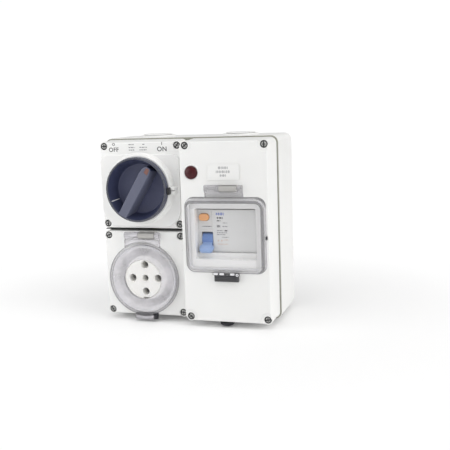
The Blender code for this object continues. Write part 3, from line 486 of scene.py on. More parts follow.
def block(x, up, out, corner=0.0005, edge=0.0, back=0.0, lean=(0, 0, 0, 0), steps=6):
    """A rounded block. Corner is one radius, or one for each corner. The left, right, lower and
    upper sides lean in by lean at the front."""
    corners = corner if isinstance(corner, tuple) else (corner,) * 4
    sections = []
    for inset, depth in rounding(out, edge, back):
        share = (depth - out[0]) / (out[1] - out[0])
        left, right, lower, upper = (side * share + inset for side in lean)
        limits = ((x[0] + left, x[1] - right), (up[0] + lower, up[1] - upper))
        radii = [radius - inset for radius in corners]
        sections.append((outline(*limits, radii, steps), depth))
    return stack(sections)


def turned(centre, profile, sides=96, closed=False):
    """A round shape from (radius, distance out) points."""
    return stack([(circle(centre, radius, sides), out) for radius, out in profile], closed)


def disc(centre, out, radius, edge=0.0, sides=64):
    """A cylinder with a rounded front edge."""
    profile = [(radius, out[0])]
    profile += [(radius - inset, depth) for inset, depth in rounding(out, edge, 0.0)[1:]]
    return turned(centre, profile, sides)


def moved(shape, matrix):
    bmesh.ops.transform(shape, matrix=matrix, verts=shape.verts)
    return shape


def aimed(shape, turn, place):
    """A shape drawn outwards about zero, turned and then set at a place."""
    return moved(shape, Matrix.Translation(place) @ turn.to_4x4())


def along_x(x, axis, radius, sides, edge=0.0002):
    """A cylinder along x about an axis given as height and distance out."""
    shape = disc((0, 0), (0, x[1] - x[0]), radius, edge=edge, sides=sides)
    return aimed(shape, ALONG_X, (x[0], *axis))


def prism(x, profile):
    """A profile of (height, distance out) points drawn along x, with chamfered ends."""
    edge = 0.0003
    centre_up = sum(up for up, _ in profile) / len(profile)
    centre_out = sum(out for _, out in profile) / len(profile)
    arms = [(up - centre_up, out - centre_out) for up, out in profile]
    share = 1 - edge / max(math.hypot(*arm) for arm in arms)
    drawn_in = [(centre_up + arm[0] * share, centre_out + arm[1] * share) for arm in arms]
    ends = ((drawn_in, 0.0), (profile, edge), (profile, x[1] - x[0] - edge), (drawn_in, x[1] - x[0]))
    return aimed(stack(ends), ALONG_X, (x[0], 0, 0))


def tube(path, radius):
    """A round bar swept along a path that turns gently, closed at both ends."""
    sides = 12
    shape = bmesh.new()
    points = [Vector(point) for point in path]
    rings, side = [], None
    for i, point in enumerate(points):
        ahead = (points[min(i + 1, len(points) - 1)] - points[max(i - 1, 0)]).normalized()
        if side is None:
            side = ahead.orthogonal().normalized()
        side = (side - ahead * side.dot(ahead)).normalized()
        other = ahead.cross(side)
        turns = [2 * math.pi * k / sides for k in range(sides)]
        ring = [point + side * (radius * math.cos(a)) + other * (radius * math.sin(a)) for a in turns]
        rings.append([shape.verts.new(place) for place in ring])
    return skinned(shape, rings, zip(rings, rings[1:]))


def mixed(shapes):
    """Separate shapes gathered in one bmesh."""
    whole = bmesh.new()
    for shape in shapes:
        mesh = bpy.data.meshes.new("gather")
        shape.to_mesh(mesh)
        whole.from_mesh(mesh)
        shape.free()
        bpy.data.meshes.remove(mesh)
    return whole


# ---- From shapes to pieces ----------------------------------------------------------------------
SHARP = math.radians(40)  # edges that turn by more than this are softened


def linked(name, data):
    """A new object in the scene."""
    obj = bpy.data.objects.new(name, data)
    bpy.context.scene.collection.objects.link(obj)
    return obj


def raw_object(name, shape):
    mesh = bpy.data.meshes.new(name)
    shape.to_mesh(mesh)
    shape.free()
    return linked(name, mesh)


def evaluated(obj):
    """The object with its modifiers applied."""
    return obj.evaluated_get(bpy.context.evaluated_depsgraph_get())


def apply_modifiers(obj):
    mesh = bpy.data.meshes.new_from_object(evaluated(obj))
    obj.modifiers.clear()
    old = obj.data
    obj.data = mesh
    bpy.data.meshes.remove(old)


def edges_to_soften(mesh, width):
    """The sharp edges that have room for a bevel. Where edges crowd together or meet in a narrow
    corner, a bevel would fold over itself or grow a spike, so those edges stay as they are."""
    shape = bmesh.new()
    shape.from_mesh(mesh)
    keen = {edge for edge in shape.edges if edge.is_manifold and edge.calc_face_angle(0) > SHARP}
    crowded = set()
    for vert in {vert for edge in keen for vert in edge.verts}:
        meeting = [edge for edge in vert.link_edges if edge in keen]
        plain = [edge for edge in vert.link_edges if edge not in keen]
        tight = any(edge.calc_length() < 1.3 * width for edge in plain)
        for corner in vert.link_loops:
            if corner.edge in keen and corner.link_loop_prev.edge in keen:
                tight = tight or corner.calc_angle() < math.radians(40)
        if len(meeting) > 2:
            tight = tight or any(edge.calc_length() < 2.2 * width for edge in meeting)
        if tight:
            crowded.add(vert)
    chosen = {edge.index for edge in keen if not (set(edge.verts) & crowded)}
    shape.free()
    return chosen


def soften_edges(obj, width):
    """Bevels the sharp edges. A bevel that reaches too far from the surface is taken out, with the
    edges round it, and the rest is done again."""
    chosen = edges_to_soften(obj.data, width)
    surface = BVHTree.FromObject(obj, bpy.context.evaluated_depsgraph_get())
    vertices, edges = obj.data.vertices, obj.data.edges
    ends = {index: [vertices[i].co for i in edges[index].vertices] for index in chosen}
    weights = obj.data.attributes.new("bevel_weight_edge", "FLOAT", "EDGE")
    bevel = obj.modifiers.new("soften", "BEVEL")
    bevel.width = width
    bevel.segments = 2
    bevel.limit_method = "WEIGHT"
    bevel.loop_slide = False
    bevel.use_clamp_overlap = False
    for _ in range(8):
        values = [0.0] * len(obj.data.edges)
        for index in chosen:
            values[index] = 1.0
        weights.data.foreach_set("value", values)
        obj.data.update()
        spikes = []
        for vert in evaluated(obj).data.vertices:
            distance = surface.find_nearest(vert.co)[3]
            if distance > 0.8 * width:
                spikes.append((vert.co.copy(), distance + 3 * width))
        if not spikes:
            break
        for place, reach in spikes:
            chosen -= {i for i in chosen if (nearest_on_edge(place, *ends[i]) - place).length < reach}
    apply_modifiers(obj)
    faded = obj.data.attributes.get("bevel_weight_edge")
    if faded:
        obj.data.attributes.remove(faded)


def nearest_on_edge(place, a, b):
    along = b - a
    share = (place - a).dot(along) / max(along.length_squared, 1e-18)
    return a + along * min(max(share, 0.0), 1.0)


def cut(*shapes):
    return "DIFFERENCE", shapes


def join(*shapes):
    return "UNION", shapes


def formed(name, shape, *steps, soften):
    """A finished object. Each step joins shapes to it or cuts them out, and the edges that are
    still sharp at the end are softened."""
    obj = raw_object(name, shape)
    helpers = []
    for operation, shapes in steps:
        helper = raw_object(f"{name}_step", mixed(shapes))
        helpers.append(helper)
        modifier = obj.modifiers.new(operation, "BOOLEAN")
        modifier.operation = operation
        modifier.solver = "EXACT"
        modifier.object = helper
    if steps:
        weld = obj.modifiers.new("weld", "WELD")
        weld.merge_threshold = 0.00001
        apply_modifiers(obj)
    for helper in helpers:
        mesh = helper.data
        bpy.data.objects.remove(helper)
        bpy.data.meshes.remove(mesh)
    if soften:
        soften_edges(obj, soften)
    obj.data.transform(UPRIGHT)
    obj.data.shade_smooth()
    obj.data.set_sharp_from_angle(angle=SHARP)
    normals = obj.modifiers.new("normals", "WEIGHTED_NORMAL")
    normals.keep_sharp = True
    return obj


def dress(obj, node, mat):
    """The object moves with a CAD node, and wears the material."""
    obj.data.materials.clear()
    obj.data.materials.append(mat)
    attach(obj, BODY_OF[node])


def piece(node, shape, *steps, mat=None, soften=0.00025):
    """A finely modelled piece that replaces a CAD node. It wears the node's material unless told
    another."""
    obj = formed(f"{node}_fine", shape, *steps, soften=soften)
    dress(obj, node, mat or MATERIALS[SLOT_OF[node]])
    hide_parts(node)
    return obj


def detail(name, node, mat, shape, *steps, soften=0.0):
    """A detail that moves with a CAD node without replacing it."""
    dress(formed(name, shape, *steps, soften=soften), node, mat)


def two_tone(obj, mat, inside):
    """Gives the faces whose centre, in the wall frame, is inside a region a second material."""
    obj.data.materials.append(mat)
    for face in obj.data.polygons:
        x, y, z = face.center
        if inside(x, z, -y):
            face.material_index = len(obj.data.materials) - 1


# ---- Enclosure ----------------------------------------------------------------------------------
def back_box():
    x, up, out = span("back_box")
    boss = up[1] + x[0]  # how far the conduit bosses stand out from the sides
    half = x[1]
    wall, corner = 0.003, 0.008
    inside = half - wall
    bosses, holes = [], []
    for node in ("conduit_plug_top_left", "conduit_plug_top_right"):
        place_x, _, place_out = middle(node)
        for turn, sign in ((UP, 1), (DOWN, -1)):
            place = (place_x, sign * half, place_out)
            bosses.append(aimed(disc((0, 0), (-wall / 2, boss), 0.0195, edge=0.0005), turn, place))
            holes.append(aimed(disc((0, 0), about(0, 2 * wall), 0.0125, sides=48), turn, place))
    reach = 0.076
    corners = [(a * reach, b * reach) for a in (-1, 1) for b in (-1, 1)]
    recess = block(grown(x, -0.010), grown(x, -0.010), (-THROUGH, 0.0007), corner=0.005)
    pads = [disc(place, (0.0002, 0.0015), 0.008) for place in corners]
    fixings = [disc(place, (-THROUGH, THROUGH), 0.0028, sides=32) for place in corners]
    across, thick, rib_out = inside + wall / 2, about(0, 0.0015), (0.051, out[1] - 0.0002)
    ribs = [block(thick, (-across, across), rib_out), block((-across, 0), thick, rib_out)]
    posts = [disc(place, (wall / 2, out[1] - 0.0015), 0.0055, sides=24) for place in SCREW_PLACES]
    pilots = [disc(place, (0.044, out[1] + THROUGH), 0.0021, sides=16) for place in SCREW_PLACES]
    shell = block(x, x, out, corner=corner, edge=0.0006, back=0.0012, steps=12)
    hollow = block((-inside, inside), (-inside, inside), (wall, out[1] + THROUGH), corner=0.005)
    piece(
        "back_box",
        shell,
        cut(hollow),
        join(*posts),
        join(*ribs),
        join(*bosses),
        cut(*holes, *pilots),
        cut(recess),
        join(*pads),
        cut(*fixings),
    )


def box_gasket():
    x, up, out = span("box_gasket")
    inner, bar = x[1] - 0.003, 0.0022
    ring = block(x, up, out, corner=0.0074, edge=0.0005, back=0.0005, steps=12)
    below, above, whole = (-inner, -bar), (bar, inner), (-inner, inner)
    openings = [
        block(*limits, grown(out, THROUGH), corner=0.004)
        for limits in ((below, above), (below, below), (above, whole))
    ]
    lip_out = (out[0] + 0.0002, 0.0815)
    lip = block((-inner - 0.0005, -bar + 0.0005), about(0, 0.0004), lip_out, edge=0.0002)
    gasket = piece("box_gasket", ring, cut(*openings), join(lip))
    # The bar between the switch and socket covers is painted black: painted shade in the gap between
    # them.
    two_tone(gasket, SHADE_BLACK, lambda a, b, depth: a < -bar and abs(b) < bar + GAP)


def conduit_plugs():
    """Blanking plugs with a dished head, a coin slot and a few turns of thread on the stem."""
    thread, root, head, lip = 0.0122, 0.0116, 0.0160, 0.0012
    profile = [(0.0118, -0.008), (thread, -0.0076)]
    for turn in range(5):
        start = -0.0074 + turn * 0.0015
        profile += [(thread, start), (root, start + 0.0007)]
    profile += [(thread, 0.0), (0.0157, 0.0), (head, 0.0003), (head, 0.0007), (0.0155, lip)]
    profile += [(thread, lip), (0.0117, 0.0008), (0.002, 0.0008)]
    for row, turn in (("top", UP), ("bottom", DOWN)):
        for side in ("left", "right"):
            node = f"conduit_plug_{row}_{side}"
            x, _, out = middle(node)
            low, high = span(node)[1]
            place = (x, high - lip if row == "top" else low + lip, out)
            head = aimed(turned((0, 0), profile, 72), turn, place)
            slot = block(about(0, 0.0085), about(0, 0.0011), (0.0002, THROUGH))
            piece(node, head, cut(aimed(slot, turn, place)), soften=0.00015)


def drain_plug():
    """A domed plug with a drip groove round it."""
    stem, depth = 0.0038, 0.0045
    profile = [(0.0034, -0.005), (stem, -0.0046), (stem, -0.0012), (stem, 0.0)]
    profile += [(0.0073, 0.0), (0.0076, 0.0004), (0.0076, 0.0009), (0.0071, 0.0013), (0.0074, 0.0019)]
    profile += [(0.0068, 0.0028), (0.0056, 0.0036), (0.0038, 0.0042), (0.0018, depth)]
    x, up, out = span("drain_plug")
    place = (sum(x) / 2, up[0] + depth, sum(out) / 2)
    piece("drain_plug", aimed(turned((0, 0), profile, 64), DOWN, place), soften=0)


def cover_screws():
    """Pan-head screws with a slot across a cross recess, each stopped at its own angle. The slot's
    faces are painted dark grey as painted shade, and a black ring round each head is painted
    shade in the pocket."""
    head, radius, shank = 0.0024, 0.0028, 0.0016
    root = shank - 0.0003
    for number, node in enumerate(SCREWS):
        x, up, _ = middle(node)
        tip, top = span(node)[2]
        seat = top - head
        profile = [(0.0004, tip), (root, tip + 0.0014)]
        for turn in range(12):
            start = tip + 0.0016 + turn * 0.0009
            profile += [(shank, start), (root, start + 0.00045)]
        profile += [(shank - 0.0002, seat - 0.0002), (shank, seat), (radius - 0.0001, seat)]
        profile += [(radius, seat + 0.0003), (radius, top - 0.0009), (radius - 0.0003, top - 0.0004)]
        profile += [(radius - 0.0010, top - 0.0001), (radius - 0.0018, top), (0.0004, top)]
        slot = block(about(0, 2 * radius), about(0, 0.00065), (top - 0.0011, top + THROUGH))
        recess = block(about(0, 0.0005), about(0, 0.0017), (top - 0.0015, top + THROUGH))
        turn = Matrix.Translation((x, up, 0)) @ Matrix.Rotation(math.radians(50 * number), 4, "Z")
        body = moved(turned((0, 0), profile, 40), turn)
        screw = piece(node, body, cut(moved(slot, turn)), cut(moved(recess, turn)), soften=0.00008)

        def in_slot_painted_shade(a, b, out):
            near = math.hypot(a - x, b - up) < radius - 0.0003
            return near and seat + 0.0005 < out < top - 0.0003

        # The slot's inner faces get dark grey: painted shade in the slot.
        two_tone(screw, CATCH_GREY_AND_SHADE, in_slot_painted_shade)
        # A black ring in the pocket round the head: painted shade, a dark ring put where the pocket is
        # in shade.
        inner, outer = radius + 0.0001, radius + 0.0010
        ring = [(inner, seat), (inner, top - 0.0010), (inner + 0.0002, top - 0.0007)]
        ring += [(outer - 0.0003, top - 0.0007), (outer, top - 0.0011), (outer, seat)]
        detail(f"screw_seal_{number:02d}", node, SHADE_BLACK, turned((x, up), ring, 48, closed=True))


# ---- Covers -------------------------------------------------------------------------------------
def cover_lean(x, up):
    """A cover's sides lean in at the front, far more on the sides that face outwards."""
    outer, between, inner = 0.0021, 0.0012, 0.0002
    sides = [outer if abs(limit) > 0.05 else inner for limit in x]
    return (*sides, *(outer if abs(limit) > 0.05 else between for limit in up))


def cover_blank(x, up, face):
    """The outside of a cover, and the hollow behind it."""
    wall, lean = 0.0027, cover_lean(x, up)
    out = (COVER_BACK, face)
    outside = block(x, up, out, corner=0.0065, edge=0.0013, back=0.0003, lean=lean, steps=12)
    hollow_out = (COVER_BACK - THROUGH, face - 0.003)
    hollow = block(grown(x, -wall), grown(up, -wall), hollow_out, corner=0.003, lean=lean)
    return outside, hollow


def screws_within(x, up):
    return [(a, b) for a, b in SCREW_PLACES if x[0] < a < x[1] and up[0] < b < up[1]]


def screw_steps(places, face):
    """Posts under the screws, and the pockets their heads sit in, each with a chamfered mouth."""
    depth, mouth = 0.0039, 0.0046
    pocket = [(depth, face - 0.0034), (depth, face - 0.0006), (mouth, face + 0.0001)]
    pocket += [(mouth, face + THROUGH)]
    posts = [disc(p, (COVER_BACK + GAP, face - 0.0015), 0.005, sides=32) for p in places]
    pockets = [turned(p, pocket, 48) for p in places]
    shanks = [disc(p, (COVER_BACK - THROUGH, face), 0.0022, sides=24) for p in places]
    return join(*posts), cut(*pockets), cut(*shanks)


def hinge_block_steps(axis, face):
    """The fixed knuckle that carries a lid's hinge pin, with a foot that flares into the cover."""
    x = block_limits(axis)
    low, high = about(axis[1], KNUCKLE_RADIUS)
    profile = arc(axis[1:], KNUCKLE_RADIUS, 0, 180, 24)
    profile += [(low, face + 0.0004), (low - 0.0005, face - 0.0001), (low - 0.0005, face - 0.0012)]
    profile += [(high + 0.0003, face - 0.0012), (high + 0.0003, face - 0.0001), (high, face + 0.0003)]
    bore = along_x(grown(x, 0.02), axis[1:], PIN_BORE, edge=0, sides=24)
    edges = arc(axis[1:], KNUCKLE_RADIUS, 150, -120, 1)
    grooves = [along_x(grown(x, 0.02), place, 0.0007, edge=0, sides=16) for place in edges]
    return join(prism(x, profile)), cut(bore), cut(*grooves)


def block_limits(axis):
    return axis[0] - 0.0038, axis[0] + 0.0144


def paint_hinge_block(cover, axis, face):
    """The block's cream plastic, and painted shade in its grooves that draws dark lines there."""
    x = block_limits(axis)

    def on_block(a, b, out):
        return x[0] - GAP < a < x[1] + GAP and abs(b - axis[1]) < 0.0040 and out > face + 0.0002

    def in_groove(a, b, out):
        off_middle, in_front = abs(b - axis[1]) > 0.0020, out > axis[2]
        below_skin = 0.0020 < math.hypot(b - axis[1], out - axis[2]) < 0.0034
        return on_block(a, b, out) and off_middle and in_front and below_skin

    two_tone(cover, HINGE_CREAM, on_block)
    # Painted shade: the groove faces get dark grey.
    two_tone(cover, GROOVE_PAINTED_SHADE, in_groove)


def pip(place, out):
    return disc(place, out, 0.0011, edge=0.0006, sides=24)


def switch_cover():
    x, up, _ = span("switch_cover")
    outside, hollow = cover_blank(x, up, LOW_FACE)
    cup_wall = disc(DIAL, (0.079, LOW_FACE - 0.001), 0.0364)
    pad = block(
        (-0.0948, -0.0030),
        (0.0032, 0.0818),
        (LOW_FACE - 0.001, PAD_FACE),
        corner=(0.021, 0.009, 0.009, 0.021),
        edge=0.0009,
        lean=(0.0004,) * 4,
        steps=16,
    )
    collar = [(0.0390, PAD_FACE - 0.001), (0.0386, 0.0885), (0.0370, 0.0895), (0.0362, 0.0940)]
    collar = turned(DIAL, collar + [(0.0356, 0.0946)])
    lock_up = sum(span("lock_slide")[1]) / 2
    guide = block(
        (-0.0150, -0.0058),
        about(lock_up, 0.0046),
        (PAD_FACE - 0.001, 0.0944),
        corner=0.0022,
        edge=0.0016,
        lean=(0, 0.0024, 0.0010, 0.0010),
    )
    cup = turned(DIAL, [(0.0336, 0.0815), (0.0336, 0.0940), (0.0342, 0.0947), (0.0342, 0.11)])
    slot = block((-0.0140, -0.0076), about(lock_up, 0.00035), (0.0885, 0.1))
    piece(
        "switch_cover",
        outside,
        cut(hollow),
        join(cup_wall),
        join(pad),
        join(collar),
        join(guide, pip((-0.0058, 0.0650), (LOW_FACE - 0.001, PAD_FACE + 0.0005))),
        cut(cup),
        cut(slot, disc(DIAL, (0.07, 0.09), 0.0043, sides=32)),
        *screw_steps(screws_within(x, up), LOW_FACE),
    )


def socket_cover():
    x, up, _ = span("socket_cover")
    outside, hollow = cover_blank(x, up, LOW_FACE)
    well_floor, base = 0.054, LOW_FACE - 0.001
    seat = [(0.0392, base), (0.0390, LOW_FACE + 0.0008), (0.0383, 0.0880), (0.0379, 0.0886)]
    well = turned(SOCKET, [(0.0326, well_floor), (0.0332, 0.0878), (0.0340, 0.0887), (0.0340, 0.10)])
    cover = piece(
        "socket_cover",
        outside,
        cut(hollow),
        join(disc(SOCKET, (well_floor - 0.0025, base), 0.0355)),
        join(turned(SOCKET, seat), pip((-0.0050, -0.0215), (base, LOW_FACE + 0.0006))),
        cut(well),
        cut(disc(SOCKET, (0.045, 0.06), 0.0246)),
        *hinge_block_steps(LID_AXIS, LOW_FACE),
        *screw_steps(screws_within(x, up), LOW_FACE),
    )
    paint_hinge_block(cover, LID_AXIS, LOW_FACE)


def rcd_cover():
    x, up, _ = span("rcd_cover")
    outside, hollow = cover_blank(x, up, RCD_FACE)
    places = screws_within(x, up)
    screw_face = 0.098
    relief = [(0.0068, screw_face), (0.0074, screw_face + 0.0005)]
    relief += [(0.0082, RCD_FACE + 0.0001), (0.0082, 0.105)]
    skirt_out = (0.0885, RCD_FACE - 0.0015)
    opening_x, opening_up = (0.0152, 0.0810), (-0.0279, 0.0254)
    skirt = block(grown(opening_x, 0.0016), grown(opening_up, 0.0016), skirt_out, corner=0.003)
    mouth = block(opening_x, opening_up, (0.08, 0.11), corner=0.0015)
    sill_up = (opening_up[0] - 0.0008, -0.0221)
    sill = block(grown(opening_x, 0.0008), sill_up, (skirt_out[0] + GAP, 0.0918))
    inner, behind, rise = 0.0072, RCD_FACE - 0.001, RCD_FACE + 0.0007  # of the lamp's rim
    rim = [(0.0087, behind), (0.0086, RCD_FACE + 0.0002), (0.0079, rise)]
    rim += [(inner, rise), (inner, behind)]
    drain_x, _, drain_out = middle("drain_plug")
    drain = aimed(disc((0, 0), about(0, 0.006), 0.0041, sides=32), DOWN, (drain_x, up[0], drain_out))
    cover = piece(
        "rcd_cover",
        outside,
        cut(hollow),
        join(skirt),
        cut(mouth),
        join(sill),
        join(turned(LAMP, rim, closed=True)),
        cut(disc(LAMP, (0.09, 0.105), 0.0052, sides=32), drain),
        *hinge_block_steps(WINDOW_AXIS, RCD_FACE),
        cut(*(turned(place, relief, 64) for place in places)),
        *screw_steps(places, screw_face),
    )
    paint_hinge_block(cover, WINDOW_AXIS, RCD_FACE)


# ---- Isolator dial ------------------------------------------------------------------------------
def dial_place(shape):
    """A shape drawn along the handle, about zero, set on the dial."""
    turn = Matrix.Translation((*DIAL, 0)) @ Matrix.Rotation(-DIAL_ANGLE, 4, "Z")
    return moved(shape, turn)


def handle_outline(grow, tip_width, tip):
    """The handle from above. Its sides widen a little towards the tip, whose left side curves in,
    and its tail runs into the rim."""
    side, tail = 0.0050 + grow, -0.0324
    return [
        (-side + 0.0004, tail),
        (side - 0.0004, tail),
        (side, 0.0),
        (side + 0.0002, 0.0200),
        (tip_width + 0.0010 + grow, tip - 0.0014),
        (tip_width + grow - 0.0006, tip),
        (-tip_width - grow + 0.0022, tip),
        (-tip_width - grow + 0.0004, tip - 0.0016),
        (-tip_width - grow - 0.0010, tip - 0.0042),
        (-side, 0.0175),
        (-side, 0.0),
    ]


def pointer_outline(grow):
    return [
        (-0.0008 - grow, 0.0212 - grow),
        (0.0036 + grow, 0.0204 - grow),
        (0.0033 + grow, 0.0258 + grow),
        (0.0022 + grow, 0.0270 + grow),
        (0.0002 - grow, 0.0270 + grow),
        (-0.0006 - grow, 0.0262 + grow),
    ]


def dial_body():
    """The dish from the back of its wall, round the rim and down to the floor."""
    rim_back, wall = 0.095, 0.0344
    profile = [(0.0270, 0.0834), (0.0326, rim_back - 0.0002), (0.0329, rim_back)]
    profile += [(0.0342, rim_back + 0.0001), (wall, rim_back + 0.0006), (wall, DIAL_FRONT - 0.0012)]
    profile += [(0.0342, DIAL_FRONT - 0.0005), (0.0338, DIAL_FRONT - 0.0001), (0.0333, DIAL_FRONT)]
    profile += [(0.0328, DIAL_FRONT), (0.0324, DIAL_FRONT - 0.0002), (0.0321, DIAL_FRONT - 0.0008)]
    profile += [(0.0298, 0.0945), (0.0274, DIAL_FLOOR + 0.0016)]
    profile += [(0.0267, DIAL_FLOOR + 0.0005), (0.0256, DIAL_FLOOR)]
    return turned(DIAL, profile, 160)


def paint_dial(dial):
    to_handle = Matrix.Rotation(DIAL_ANGLE, 2)

    def on_rim(x, up, out):
        return out > DIAL_FRONT - 0.0009 and math.hypot(x - DIAL[0], up - DIAL[1]) > 0.0318

    def on_handle(x, up, out):
        across, along = to_handle @ Vector((x - DIAL[0], up - DIAL[1]))
        radius = math.hypot(across, along)
        if out > DIAL_FRONT - 0.0012:
            return abs(across) < 0.0062 and radius < 0.0326
        return out > DIAL_FLOOR + 0.0014 and abs(across) < 0.0084 and radius < 0.0262

    def on_floor(x, up, out):
        return out < DIAL_FLOOR + 0.0012 and math.hypot(x - DIAL[0], up - DIAL[1]) < 0.0270

    # Painted light: the rim, the handle with its flanks and the floor get lighter copies of the dial
    # plastic where more light falls, and the dish walls keep the darker dial plastic.
    two_tone(dial, RIM_LIT_GREY, on_rim)
    two_tone(dial, HANDLE_LIT_PLASTIC, on_handle)
    two_tone(dial, FLOOR_LIT_BLUE, on_floor)


def dial_seam():
    """A pale line down the dish wall, on a thin raised rib: a painted highlight for a glint there."""
    angle, width = math.radians(203), 0.00045
    away = Vector((math.cos(angle), math.sin(angle)))
    across = Vector((-away.y, away.x)) * width
    seam = bmesh.new()
    rings = []
    for radius, out in ((0.0275, 0.0882), (0.0316, 0.1000)):
        centre = Vector(DIAL) + away * radius
        inner = Vector(DIAL) + away * (radius + 0.0003)
        corners = [(centre - across, 0.0001), (centre + across, 0.0001)]
        corners += [(inner + across, -0.0003), (inner - across, -0.0003)]
        rings.append([seam.verts.new((*corner, out + shift)) for corner, shift in corners])
    for i in range(4):
        seam.faces.new((rings[0][i], rings[0][(i + 1) % 4], rings[1][(i + 1) % 4], rings[1][i]))
    seam.faces.new(tuple(reversed(rings[0])))
    seam.faces.new(rings[1])
    bmesh.ops.recalc_face_normals(seam, faces=seam.faces)
    detail("dial_seam", "switch_dial", PAINTED_STREAK, seam)


def switch_dial():
    bar = stack(
        [
            (handle_outline(0.0026, 0.0030, 0.0268), DIAL_FLOOR - 0.0006),
            (handle_outline(0.0003, 0.0031, 0.0278), DIAL_FRONT - 0.0009),
            (handle_outline(0.0, 0.0031, 0.0280), DIAL_FRONT - 0.0004),
            (handle_outline(-0.0005, 0.0029, 0.0277), DIAL_FRONT - 0.0001),
        ]
    )
    pocket = stack([(pointer_outline(0.0001), 0.1004), (pointer_outline(0.0001), 0.11)])
    bore = disc(DIAL, (0.08, 0.0846), 0.0041, sides=32)
    dial = piece("switch_dial", dial_body(), join(dial_place(bar)), cut(dial_place(pocket), bore))
    paint_dial(dial)
    inlay = [(0.0, 0.1007), (0.0, 0.1021), (-0.0003, 0.1022)]
    inlay = stack([(pointer_outline(grow), out) for grow, out in inlay])
    piece("dial_pointer", dial_place(inlay), soften=0.0001)
    dial_seam()


def lock_slide():
    x, up, out = span("lock_slide")
    tab = block(x, up, (0.0949, out[1]), corner=0.0006, edge=0.0007, back=0.0002)
    foot = block((-0.0132, -0.0118), about(sum(up) / 2, 0.0002), (out[0], 0.0955))
    piece("lock_slide", tab, join(foot), mat=LOCK_BLACK, soften=0.0001)


# ---- Socket -------------------------------------------------------------------------------------
def socket_insert():
    x, _, out = span("socket_insert")
    radius, front = (x[1] - x[0]) / 2, out[1]
    face = front - 0.0004
    profile = [(radius - 0.0005, out[0]), (radius, out[0] + 0.0005), (radius, face - 0.0008)]
    profile += [(radius - 0.0008, face), (radius - 0.0018, face), (radius - 0.0021, face - 0.0004)]
    profile += [(radius - 0.0027, face - 0.0004), (radius - 0.0030, face), (0.001, face)]
    rims, holes, studs = [], [], []
    for name in ("top", "left", "centre", "right", "bottom"):
        place = middle(f"contact_sleeve_{name}")[:2]
        hole = 0.0034 if name == "centre" else 0.0039
        mouth = hole + 0.0007
        ring = [(hole + 0.0021, face - 0.0006), (hole + 0.0019, face + 0.0002)]
        ring += [(hole + 0.0014, front), (hole - 0.0004, front)]
        bore = [(hole, 0.0557), (hole, front - 0.0008), (mouth, front + 0.0001)]
        bore += [(mouth, front + THROUGH)]
        rims.append(turned(place, ring, 64))
        holes.append(turned(place, bore, 64))
        studs.append(disc(place, (out[0] - THROUGH, 0.058), 0.0023, sides=24))
    key_up = (SOCKET[1] - 0.0240, SOCKET[1] - 0.0214)
    key = block(about(SOCKET[0], 0.0035), key_up, (0.080, 0.1), corner=0.0004)
    body = turned(SOCKET, profile, 128)
    piece("socket_insert", body, join(*rims), cut(*holes), cut(*studs, key), soften=0.00012)


def lid_hinge_steps(axis, neck_low, back, front):
    """The neck and the two outer knuckles of a lid, with a bore for the pin and room for the
    spring."""
    x, neck_up = about(axis[0], 0.0201), (neck_low, axis[1] - KNUCKLE_RADIUS - 0.0006)
    limits = block_limits(axis)
    room, radius, pocket = 0.0052, KNUCKLE_RADIUS, 0.00305
    neck = block(x, neck_up, (back, front), corner=0.0012, edge=0.0006, back=0.0002)
    inward = neck_up[1] - 0.0015
    profile = [p for p in arc(axis[1:], radius, -125, 270, 32) if p[1] > axis[2] - radius * 0.85]
    profile += [(inward, min(front - 0.00013, profile[-1][1] - 0.0002)), (inward, axis[2] - 0.0016)]
    sides = ((x[0], limits[0] - GAP), (limits[1] + 3 * GAP, x[1]))
    arms = [prism(grown(side, -0.00007), profile) for side in sides]
    bore = along_x(grown(x, 0.003), axis[1:], PIN_BORE, edge=0, sides=24)
    spring_room = along_x((limits[0] - room, limits[0] + 0.001), axis[1:], pocket, edge=0, sides=48)
    return join(neck), join(*arms), cut(bore), cut(spring_room)


def hinge_pin(node):
    x, up, out = span(node)
    radius = (up[1] - up[0]) / 2
    piece(node, along_x(x, (sum(up) / 2, sum(out) / 2), radius, edge=0.0003, sides=32), soften=0)


def hinge_spring(node, axis):
    """A wound torsion spring with smooth round wire."""
    x, _, _ = span(node)
    wire, coil, turns, per_turn = 0.00035, 0.0023, 3.5, 24
    count = round(turns * per_turn)
    path = []
    for i in range(count + 1):
        angle = 2 * math.pi * i / per_turn
        along = x[1] - wire - (x[1] - x[0] - 2 * wire) * i / count
        path.append((along, axis[1] + coil * math.cos(angle), axis[2] + coil * math.sin(angle)))
    piece(node, tube(path, wire), soften=0)


